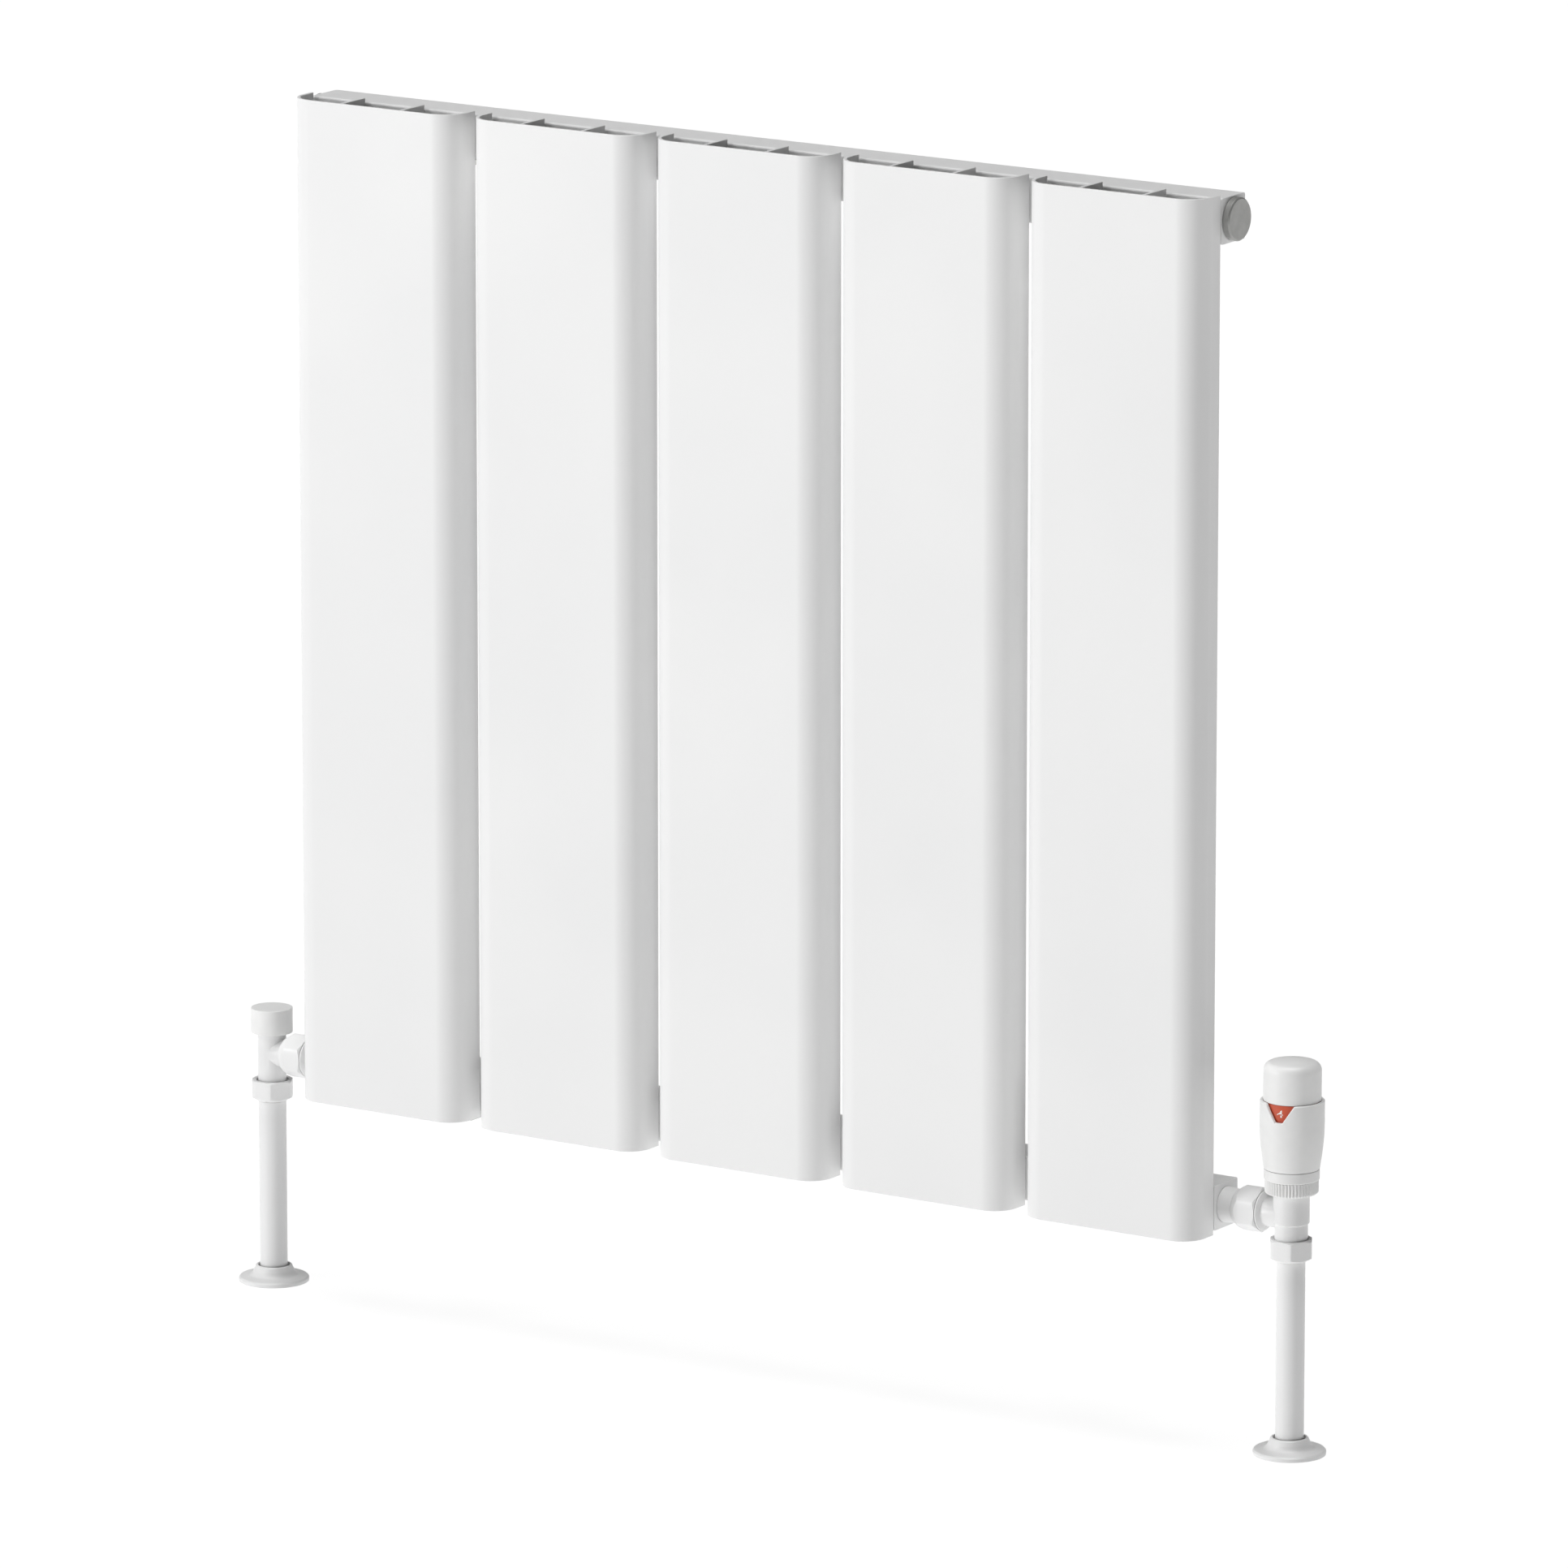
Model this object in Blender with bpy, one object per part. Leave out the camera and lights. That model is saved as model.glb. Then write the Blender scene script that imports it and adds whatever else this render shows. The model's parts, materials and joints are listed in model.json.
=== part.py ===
"""Aluminium panel radiator with a thermostatic valve, a lockshield valve and wall brackets.

Metres, +Z up. The wall is the plane y = 0 and the floor is z = 0. The radiator faces -Y.
Its middle is at x = 0. Depths are counted backwards from the front plane of the panels,
and become y with the function behind_front.
"""

import math

import bmesh
import bpy

mm = 0.001

# ---------------------------------------------------------------- driving dimensions
PANEL_COUNT = 5
PANEL_PITCH = 126 * mm
PANEL_WIDTH = 116 * mm
PANEL_HEIGHT = 600 * mm
PANEL_DEPTH = 24.2 * mm        # depth of the side returns
PANEL_CORNER = 15 * mm         # outer radius of the vertical edges
PANEL_WALL = 2 * mm
WEB_OUTSIDE = 22 * mm          # from the panel's middle to the outer face of a web
WEB_WALL = 2.2 * mm

FLOOR_TO_PANEL = 125 * mm
FRONT_TO_WALL = 77 * mm

HEADER_LENGTH = 620 * mm
HEADER_FRONT = 25.2 * mm       # depth of the header's front face
HEADER_DEPTH = 25.5 * mm
HEADER_HEIGHT = 26.5 * mm
HEADER_INSET = 2.2 * mm        # from the panel's end to the header
HEADER_WALL = 2.2 * mm
HEADER_END_WALL = 9 * mm       # the end blocks that carry the threads
PORT_RADIUS = 10.5 * mm        # half-inch thread, without its turns

CHANNEL_FRONT = 27 * mm        # depth of the upright water channel's front face
CHANNEL_DEPTH = 21.7 * mm

VALVE_OUT = 43.3 * mm          # from a header's end to a valve's upright axis
BODY_RADIUS = 8.4 * mm
BRANCH_RADIUS = 8.8 * mm
UNION_FLATS = 24 * mm
COMPRESSION_FLATS = 23.7 * mm
PIPE_RADIUS = 7.5 * mm         # 15 mm copper pipe
PIPE_WALL = 0.7 * mm
SLEEVE_RADIUS = 8.2 * mm
FLANGE_RADIUS = 21 * mm        # floor rosette
HANDWHEEL_RADIUS = 16.6 * mm

BRACKET_X = 212 * mm           # from the middle of the radiator to a bracket's middle
BRACKET_WIDTH = 26 * mm
BRACKET_SHEET = 3 * mm
BRACKET_LIP = 2 * mm           # thickness of the lip in front of the header
LIP_HEIGHT = 12 * mm           # of the lip's top over the header's bottom
LINER = 1.2 * mm
UPPER_PLATE_DOWN = 32 * mm     # from the arm to the wall plate's lower end
UPPER_PLATE_UP = 21 * mm       # from the arm to its upper end
LOWER_PLATE_UP = 60 * mm
SCREW_HOLE = 3.2 * mm

GAP = 0.3 * mm                 # between pieces that touch
ROUND = 20                     # sides of a turned piece
HEAD_ROUND = 24
SMALL_ROUND = 12

# ---------------------------------------------------------------- places worked out from them
FRONT_Y = -FRONT_TO_WALL
PANEL_TOP = FLOOR_TO_PANEL + PANEL_HEIGHT
LOWER_HEADER_Z = FLOOR_TO_PANEL + HEADER_INSET + HEADER_HEIGHT / 2
UPPER_HEADER_Z = PANEL_TOP - HEADER_INSET - HEADER_HEIGHT / 2
HEADER_AXIS_Y = FRONT_Y + HEADER_FRONT + HEADER_DEPTH / 2
HEADER_END_X = HEADER_LENGTH / 2
VALVE_X = HEADER_END_X + VALVE_OUT
PANEL_CENTRES = [(i - (PANEL_COUNT - 1) / 2) * PANEL_PITCH for i in range(PANEL_COUNT)]


def behind_front(depth):
    return FRONT_Y + depth


# ---------------------------------------------------------------- materials
def material(name, colour, roughness, metallic=0.0):
    made = bpy.data.materials.new(name)
    made.use_nodes = True
    shader = made.node_tree.nodes["Principled BSDF"]
    shader.inputs["Base Color"].default_value = (*colour, 1.0)
    shader.inputs["Roughness"].default_value = roughness
    shader.inputs["Metallic"].default_value = metallic
    return made


def white_coat(name):
    return material(name, (0.86, 0.86, 0.86), 0.35)


def white_plastic(name):
    return material(name, (0.88, 0.88, 0.87), 0.42)


def brass(name):
    return material(name, (0.72, 0.50, 0.22), 0.32, 1.0)


def copper(name):
    return material(name, (0.80, 0.42, 0.28), 0.30, 1.0)


def satin_nickel(name):
    return material(name, (0.52, 0.52, 0.51), 0.40, 1.0)


def steel(name):
    return material(name, (0.62, 0.62, 0.60), 0.38, 1.0)


def rubber(name):
    return material(name, (0.025, 0.025, 0.028), 0.75)


# ---------------------------------------------------------------- modelling helpers
def start_empty():
    for old in list(bpy.data.objects):
        bpy.data.objects.remove(old)


def add_object(name, mesh, surface=None, parent=None):
    made = bpy.data.objects.new(name, mesh)
    bpy.context.scene.collection.objects.link(made)
    if surface:
        mesh.materials.append(surface)
    if parent:
        made.parent = parent
    return made


def axis_empty(name, place, along_x=False):
    """An empty on a joint's or a bore's axis. Its +Z runs up, or along world +X."""
    made = bpy.data.objects.new(name, None)
    made.location = place
    made.empty_display_size = 0.02
    if along_x:
        made.rotation_euler = (0, math.pi / 2, 0)
    bpy.context.scene.collection.objects.link(made)
    return made


def mesh_from(name, build):
    shape = bmesh.new()
    build(shape)
    bmesh.ops.recalc_face_normals(shape, faces=shape.faces)
    mesh = bpy.data.meshes.new(name)
    shape.to_mesh(mesh)
    shape.free()
    return mesh


def turned_mesh(name, profile, sides=ROUND):
    """The closed outline profile, as (radius, height), turned about +Z. Points on the axis make poles."""

    def build(shape):
        rings = []
        for radius, height in profile:
            turns = [2 * math.pi * i / sides for i in range(sides)] if radius else [0]
            places = [(radius * math.cos(a), radius * math.sin(a), height) for a in turns]
            rings.append([shape.verts.new(place) for place in places])
        for ring, following in zip(rings, rings[1:] + rings[:1]):
            if len(ring) == len(following) == 1:
                continue
            for i in range(sides):
                corners = [ring[i % len(ring)], ring[(i + 1) % len(ring)]]
                corners += [following[(i + 1) % len(following)], following[i % len(following)]]
                shape.faces.new(list(dict.fromkeys(corners)))

    mesh = mesh_from(name, build)
    mesh.shade_smooth()
    mesh.set_sharp_from_angle(angle=math.radians(35))
    return mesh


def turned(name, profile, surface, parent, sides=ROUND):
    return add_object(name, turned_mesh(name, profile, sides), surface, parent)


def tube(name, inner, outer, low, high, surface, parent, sides=ROUND):
    return turned(name, tube_outline(inner, outer, low, high), surface, parent, sides)


def tube_outline(inner, outer, low, high):
    return [(inner, low), (outer, low), (outer, high), (inner, high)]


def rod_outline(radius, low, high):
    return [(0, low), (radius, low), (radius, high), (0, high)]


def add_box(shape, low, high):
    xs, ys, zs = zip(low, high)
    corners = [shape.verts.new((x, y, z)) for x in xs for y in ys for z in zs]
    for face in ((0, 1, 3, 2), (4, 6, 7, 5), (0, 4, 5, 1), (2, 3, 7, 6), (0, 2, 6, 4), (1, 5, 7, 3)):
        shape.faces.new([corners[i] for i in face])


def boxes_mesh(name, boxes):
    return mesh_from(name, lambda shape: [add_box(shape, low, high) for low, high in boxes])


def prism_mesh(name, outline, low, high, axis="Z"):
    """The outline drawn out from low to high. Its points are (x, y) along Z, or (y, z) along X."""

    def build(shape):
        if axis == "Z":
            corners = [shape.verts.new((a, b, low)) for a, b in outline]
            travel = (0, 0, high - low)
        else:
            corners = [shape.verts.new((low, a, b)) for a, b in outline]
            travel = (high - low, 0, 0)
        face = shape.faces.new(corners)
        grown = bmesh.ops.extrude_face_region(shape, geom=[face])
        moved = [part for part in grown["geom"] if isinstance(part, bmesh.types.BMVert)]
        bmesh.ops.translate(shape, verts=moved, vec=travel)

    return mesh_from(name, build)


def arc(centre, radius, start, end, steps):
    """Points on an arc, with angles in degrees."""
    angles = [math.radians(start + (end - start) * i / steps) for i in range(steps + 1)]
    return [(centre[0] + radius * math.cos(a), centre[1] + radius * math.sin(a)) for a in angles]


def cutter(name, mesh, parent=None):
    made = add_object(name, mesh, parent=parent)
    made.hide_render = True
    made.display_type = "WIRE"
    return made


def combine(target, operation, *others):
    for other in others:
        step = target.modifiers.new(f"{operation.lower()} {other.name}", "BOOLEAN")
        step.operation = operation
        step.object = other
        step.solver = "EXACT"


def hexagon(flats, first_corner=0):
    radius = flats / math.sqrt(3)
    turns = [math.radians(first_corner + 60 * i) for i in range(6)]
    return [(radius * math.cos(a), radius * math.sin(a)) for a in turns]


def square(half):
    return [(half, half), (-half, half), (-half, -half), (half, -half)]


def hex_nut(name, profile, flats, first_corner, surface, parent):
    """A turned blank, cut to a hexagon."""
    nut = turned(name, profile, surface, parent)
    heights = [height for _, height in profile]
    low, high = min(heights) - mm, max(heights) + mm
    bar = prism_mesh(name + "_hexagon", hexagon(flats, first_corner), low, high)
    combine(nut, "INTERSECT", cutter(name + "_hexagon", bar, parent))


# ---------------------------------------------------------------- radiator
def panel_outline(centre):
    """The extrusion in plan: front wall, side returns and the block that becomes the water channel."""
    half, wall, corner = PANEL_WIDTH / 2, PANEL_WALL, PANEL_CORNER
    right = [(half, PANEL_DEPTH)] + arc((half - corner, corner), corner, 0, -90, 6)
    inside = arc((half - corner, corner), corner - wall, -90, 0, 6) + [(half - wall, PANEL_DEPTH)]
    back = CHANNEL_FRONT + CHANNEL_DEPTH
    block = [(-WEB_OUTSIDE, wall), (-WEB_OUTSIDE, back), (WEB_OUTSIDE, back), (WEB_OUTSIDE, wall)]
    left = [(-x, depth) for x, depth in reversed(right)]
    left_inside = [(-x, depth) for x, depth in reversed(inside)]
    outline = right + left + left_inside + block + inside
    return [(centre + x, behind_front(depth)) for x, depth in outline]


def make_radiator():
    across = HEADER_LENGTH / 2 + 20 * mm
    header_back = behind_front(HEADER_FRONT + HEADER_DEPTH)
    lower_top = LOWER_HEADER_Z + HEADER_HEIGHT / 2
    upper_bottom = UPPER_HEADER_Z - HEADER_HEIGHT / 2
    before_header = behind_front(HEADER_FRONT) - GAP

    room_back = header_back + mm
    rooms = [
        ((-across, before_header, FLOOR_TO_PANEL - mm), (across, room_back, lower_top + GAP)),
        ((-across, before_header, upper_bottom - GAP), (across, room_back, PANEL_TOP + mm)),
    ]
    header_rooms = cutter("header_rooms", boxes_mesh("header_rooms", rooms))
    web_cells = cutter(
        "web_cells",
        boxes_mesh(
            "web_cells",
            [
                (
                    (x - WEB_OUTSIDE + WEB_WALL, behind_front(PANEL_WALL), FLOOR_TO_PANEL - mm),
                    (x + WEB_OUTSIDE - WEB_WALL, behind_front(CHANNEL_FRONT), PANEL_TOP + mm),
                )
                for x in PANEL_CENTRES
            ],
        ),
    )
    waterways = cutter(
        "waterways",
        boxes_mesh(
            "waterways",
            [
                (
                    (x - WEB_OUTSIDE + WEB_WALL, behind_front(CHANNEL_FRONT) + WEB_WALL, LOWER_HEADER_Z),
                    (
                        x + WEB_OUTSIDE - WEB_WALL,
                        behind_front(CHANNEL_FRONT + CHANNEL_DEPTH) - WEB_WALL,
                        UPPER_HEADER_Z,
                    ),
                )
                for x in PANEL_CENTRES
            ],
        ),
    )

    for number, x in enumerate(PANEL_CENTRES, start=1):
        name = f"panel_{number}"
        mesh = prism_mesh(name, panel_outline(x), FLOOR_TO_PANEL, PANEL_TOP)
        panel = add_object(name, mesh, white_coat("panel_coat_" + str(number)))
        combine(panel, "DIFFERENCE", web_cells, waterways, header_rooms)

    for name, z in (("top_header", UPPER_HEADER_Z), ("bottom_header", LOWER_HEADER_Z)):
        make_header(name, z, waterways)


def make_header(name, z, waterways):
    half_depth, half_height = HEADER_DEPTH / 2, HEADER_HEIGHT / 2
    low = (-HEADER_END_X, HEADER_AXIS_Y - half_depth, z - half_height)
    high = (HEADER_END_X, HEADER_AXIS_Y + half_depth, z + half_height)
    header = add_object(name, boxes_mesh(name, [(low, high)]), white_coat(name + "_coat"))
    edges = header.modifiers.new("rounded edges", "BEVEL")
    edges.width = 1.2 * mm
    edges.segments = 2

    inset = (HEADER_END_WALL, HEADER_WALL, HEADER_WALL)
    cavity = (tuple(a + b for a, b in zip(low, inset)), tuple(a - b for a, b in zip(high, inset)))
    room = cutter(name + "_cavity", boxes_mesh(name + "_cavity", [cavity]))
    bore_axis = axis_empty(name + "_axis", (0, HEADER_AXIS_Y, z), along_x=True)
    overshoot = HEADER_END_X + mm
    bore = turned_mesh(name + "_ports", rod_outline(PORT_RADIUS, -overshoot, overshoot))
    combine(header, "DIFFERENCE", room, cutter(name + "_ports", bore, bore_axis), waterways)


# ---------------------------------------------------------------- plugs of the top header
PLUG_RADIUS = 12.4 * mm
PLUG_PROUD = 4.6 * mm
SEAL_THICKNESS = 1.0 * mm
THREAD_RADIUS = PORT_RADIUS - GAP
BLEED_RADIUS = 2.2 * mm
BLEED_SEAT = 5 * mm            # depth of the bleed screw's seat behind the header's end
BLEED_CONE = 1.3 * mm          # length of that seat's cone
DRAIN_RADIUS = 1.0 * mm
KEY_HALF = 2.5 * mm            # half the width of the bleed screw's square
RUNNING = 0.1 * mm             # clearance round a small shaft that turns


def plug_outline(bore):
    """A flanged plug, from its outer face back to its threaded end. A bored one has a conical seat."""
    flange_back = SEAL_THICKNESS + 2 * GAP
    depth = HEADER_END_WALL - mm
    bevel = 0.7 * mm
    outside = [
        (PLUG_RADIUS - bevel, PLUG_PROUD),
        (PLUG_RADIUS, PLUG_PROUD - bevel),
        (PLUG_RADIUS, flange_back),
        (THREAD_RADIUS - mm, flange_back),
        (THREAD_RADIUS - mm, 0),
        (THREAD_RADIUS, -mm),
        (THREAD_RADIUS, -depth),
    ]
    if not bore:
        inside = THREAD_RADIUS - 3 * mm
        return [(0, PLUG_PROUD)] + outside + [(inside, -depth), (inside, 0), (0, 0)]
    drain = [(DRAIN_RADIUS, -depth), (DRAIN_RADIUS, -BLEED_SEAT - BLEED_CONE), (bore, -BLEED_SEAT)]
    return [(bore, PLUG_PROUD)] + outside + drain


def make_plugs():
    right = axis_empty("blanking_plug_axis", (HEADER_END_X, HEADER_AXIS_Y, UPPER_HEADER_Z), along_x=True)
    turned("blanking_plug", plug_outline(0), satin_nickel("blanking_plug_nickel"), right)
    seal = tube_outline(THREAD_RADIUS - 0.6 * mm, PLUG_RADIUS - mm, GAP, GAP + SEAL_THICKNESS)
    turned("blanking_plug_seal", seal, rubber("blanking_plug_rubber"), right)

    left = axis_empty("vent_plug_axis", (-HEADER_END_X, HEADER_AXIS_Y, UPPER_HEADER_Z), along_x=True)
    left.rotation_euler = (0, -math.pi / 2, 0)
    turned("vent_plug", plug_outline(BLEED_RADIUS + RUNNING), satin_nickel("vent_plug_nickel"), left)
    turned("vent_plug_seal", seal, rubber("vent_plug_rubber"), left)
    make_bleed_screw(left)


def make_bleed_screw(axis):
    """A screw with a pointed inner end and a square outer end for a vent key."""
    tip = -BLEED_SEAT - 0.9 * mm
    key_start, key_end = PLUG_PROUD + GAP, PLUG_PROUD + 5 * mm
    stem = [
        (0, tip),
        (BLEED_RADIUS - 1.4 * mm, tip),
        (BLEED_RADIUS, tip + 1.4 * mm),
        (BLEED_RADIUS, key_start + 0.5 * mm),
        (0, key_start + 0.5 * mm),
    ]
    screw = turned("bleed_screw", stem, brass("bleed_screw_brass"), axis, SMALL_ROUND)
    key_mesh = prism_mesh("bleed_key_end", square(KEY_HALF), key_start, key_end)
    key = cutter("bleed_key_end", key_mesh, axis)
    combine(screw, "UNION", key)


# ---------------------------------------------------------------- wall brackets
def make_bracket(name, x, header_z, plate_down, plate_up):
    """A bent steel hook that carries a header from below, and its plastic liner."""
    header_bottom = header_z - HEADER_HEIGHT / 2
    arm_top = header_bottom - LINER - 2 * GAP
    arm_bottom = arm_top - BRACKET_SHEET
    lip_back = behind_front(HEADER_FRONT) - LINER - 2 * GAP
    lip_front = lip_back - BRACKET_LIP
    lip_top = header_bottom + LIP_HEIGHT
    plate = -BRACKET_SHEET
    outline = [
        (0, arm_bottom - plate_down),
        (0, arm_top + plate_up),
        (plate, arm_top + plate_up),
        (plate, arm_top),
        (lip_back, arm_top),
        (lip_back, lip_top),
        (lip_front, lip_top),
        (lip_front, arm_bottom),
        (plate, arm_bottom),
        (plate, arm_bottom - plate_down),
    ]
    outline = [point for point, following in zip(outline, outline[1:] + outline[:1]) if point != following]
    half = BRACKET_WIDTH / 2
    folded = prism_mesh(name, outline, x - half, x + half, axis="X")
    bracket = add_object(name, folded, steel(name + "_steel"))

    holes = []
    for number, z in enumerate(screw_heights(arm_bottom, arm_top, plate_down, plate_up), start=1):
        hole = axis_empty(f"{name}_hole_{number}", (x, 0, z))
        hole.rotation_euler = (math.pi / 2, 0, 0)
        drill = rod_outline(SCREW_HOLE, -mm, BRACKET_SHEET + mm)
        mesh = turned_mesh(f"{name}_hole_{number}_cutter", drill, SMALL_ROUND)
        holes.append(cutter(f"{name}_hole_{number}_cutter", mesh, hole))
    combine(bracket, "DIFFERENCE", *holes)

    header_back = behind_front(HEADER_FRONT + HEADER_DEPTH)
    shelf = header_bottom - GAP
    inner = behind_front(HEADER_FRONT) - GAP
    lining = [
        (header_back, shelf - LINER),
        (header_back, shelf),
        (inner, shelf),
        (inner, lip_top),
        (inner - LINER, lip_top),
        (inner - LINER, shelf - LINER),
    ]
    reach = half - mm
    liner_mesh = prism_mesh(name + "_liner", lining, x - reach, x + reach, axis="X")
    nylon = material(name + "_nylon", (0.30, 0.30, 0.31), 0.6)
    add_object(name + "_liner", liner_mesh, nylon)


def screw_heights(arm_bottom, arm_top, plate_down, plate_up):
    """Heights of a bracket's two screw holes: one on each side of the arm, or both above it."""
    if plate_down:
        return arm_bottom - plate_down / 2, arm_top + plate_up / 2
    return arm_top + plate_up / 4, arm_top + plate_up * 3 / 4


def make_brackets():
    for side, x in (("left", -BRACKET_X), ("right", BRACKET_X)):
        make_bracket("upper_bracket_" + side, x, UPPER_HEADER_Z, UPPER_PLATE_DOWN, UPPER_PLATE_UP)
        make_bracket("lower_bracket_" + side, x, LOWER_HEADER_Z, 0, LOWER_PLATE_UP)


# ---------------------------------------------------------------- pieces that both valves have
def nut_profile(bore, cavity, start, step, end, small_end):
    """A union nut's blank: cone at its small end, chamfer at its open end, wider inside from step on."""
    corner = UNION_FLATS / math.sqrt(3)
    cone, chamfer = 6.1 * mm, 1.6 * mm
    return [
        (bore, start),
        (small_end, start),
        (corner, start + cone),
        (corner, end - chamfer),
        (corner - 1.9 * mm, end),
        (cavity, end),
        (cavity, step),
        (bore, step),
    ]


def make_foot(valve, axis, nut_bottom, nut_top, pipe_top):
    """Compression nut, olive, pipe, white pipe sleeve and floor rosette under a valve."""
    corner = COMPRESSION_FLATS / math.sqrt(3)
    pipe_hole = PIPE_RADIUS + GAP
    collar = 1.6 * mm
    cavity = 10.2 * mm
    shoulder = nut_bottom + 2.4 * mm
    blank = [
        (pipe_hole, nut_bottom - collar),
        (SLEEVE_RADIUS + 0.9 * mm, nut_bottom - collar),
        (SLEEVE_RADIUS + 0.9 * mm, nut_bottom),
        (corner - 2.1 * mm, nut_bottom),
        (corner, nut_bottom + 1.3 * mm),
        (corner, nut_top - 1.1 * mm),
        (corner - 1.9 * mm, nut_top),
        (cavity, nut_top),
        (cavity, shoulder),
        (pipe_hole, shoulder),
    ]
    nut_coat = white_coat(valve + "_nut_coat")
    hex_nut(valve + "_compression_nut", blank, COMPRESSION_FLATS, -60, nut_coat, axis)

    olive_low = shoulder + GAP
    olive = [
        (PIPE_RADIUS + 0.2 * mm, olive_low),
        (9.2 * mm, olive_low + 0.8 * mm),
        (9.2 * mm, olive_low + 1.4 * mm),
        (PIPE_RADIUS + 0.2 * mm, olive_low + 2.2 * mm),
    ]
    turned(valve + "_olive", olive, brass(valve + "_olive_brass"), axis)
    pipe_copper = copper(valve + "_pipe_copper")
    tube(valve + "_pipe", PIPE_RADIUS - PIPE_WALL, PIPE_RADIUS, 0, pipe_top, pipe_copper, axis)
    sleeve_top = nut_bottom - collar - GAP
    sleeve_bore = PIPE_RADIUS + 0.25 * mm
    sleeve_coat = white_coat(valve + "_sleeve_coat")
    tube(valve + "_pipe_sleeve", sleeve_bore, SLEEVE_RADIUS, GAP, sleeve_top, sleeve_coat, axis)

    bore = SLEEVE_RADIUS + 0.25 * mm
    rosette = [
        (bore, 0),
        (FLANGE_RADIUS, 0),
        (FLANGE_RADIUS, 2.0 * mm),
        (FLANGE_RADIUS - 0.9 * mm, 2.9 * mm),
        (14.8 * mm, 3.7 * mm),
        (12.8 * mm, 5.2 * mm),
        (11.2 * mm, 9.0 * mm),
        (10.4 * mm, 9.9 * mm),
        (bore, 9.9 * mm),
    ]
    turned(valve + "_rosette", rosette, white_coat(valve + "_rosette_coat"), axis)


def socket_outline(bottom, pipe_stop, seat_low, seat_high, chamber, chamber_top, top_bore, top):
    """The upright hollow of a valve body: pipe socket, seat hole, chamber and the gland's bore."""
    socket, seat = PIPE_RADIUS + 0.2 * mm, 4.5 * mm
    return [
        (0, bottom - mm),
        (socket, bottom - mm),
        (socket, pipe_stop),
        (6.2 * mm, pipe_stop),
        (6.2 * mm, seat_low),
        (seat, seat_low),
        (seat, seat_high),
        (chamber, seat_high),
        (chamber, chamber_top),
        (top_bore, chamber_top),
        (top_bore, top + mm),
        (0, top + mm),
    ]


# ---------------------------------------------------------------- thermostatic valve, on the right
TRV_NUT_BOTTOM = 115.1 * mm
TRV_NUT_TOP = 126.5 * mm
TRV_PIPE_TOP = 130.5 * mm
TRV_STEP = 136.0 * mm          # the body is thicker above this height
TRV_KNURL_BOTTOM = 155.6 * mm
TRV_KNURL_TOP = 161.5 * mm
TRV_BASE_TOP = 168.0 * mm
TRV_RIM = 207.8 * mm           # top of the outer sleeve
TRV_TOP = 231.2 * mm
TRV_SEAT = 134.5 * mm
TRV_INSERT_LOW = 147 * mm
DISC_LIFT = 2.4 * mm           # of the valve's disc over its seat, at rest
WINDOW_TURN = math.radians(5.5)  # of the reading window from the front towards the right
WINDOW_TOP = 8.2 * mm          # half its width at the rim
WINDOW_BOTTOM = 2.3 * mm
WINDOW_DEPTH = 10 * mm


def make_trv_connection():
    """Tail and union nut, counted from the header's end towards the valve."""
    axis = axis_empty("trv_branch_axis", (HEADER_END_X, HEADER_AXIS_Y, LOWER_HEADER_Z), along_x=True)
    bore, stem, collar = 6 * mm, 8 * mm, 9.9 * mm
    tail = [
        (bore, -HEADER_END_WALL + mm),
        (THREAD_RADIUS, -HEADER_END_WALL + mm),
        (THREAD_RADIUS, GAP),
        (10.5 * mm, GAP),
        (9.7 * mm, 8.4 * mm),
        (stem, 8.4 * mm),
        (stem, 17.2 * mm),
        (collar, 17.2 * mm),
        (collar, 19 * mm),
        (bore, 19 * mm),
    ]
    turned("trv_tail", tail, white_coat("trv_tail_coat"), axis)
    blank = nut_profile(stem + GAP, 10.4 * mm, 8.7 * mm, 16.8 * mm, 25.2 * mm, 10 * mm)
    nut_coat = white_coat("trv_union_nut_coat")
    hex_nut("trv_union_nut", blank, UNION_FLATS, 0, nut_coat, axis)
    return axis


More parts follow.
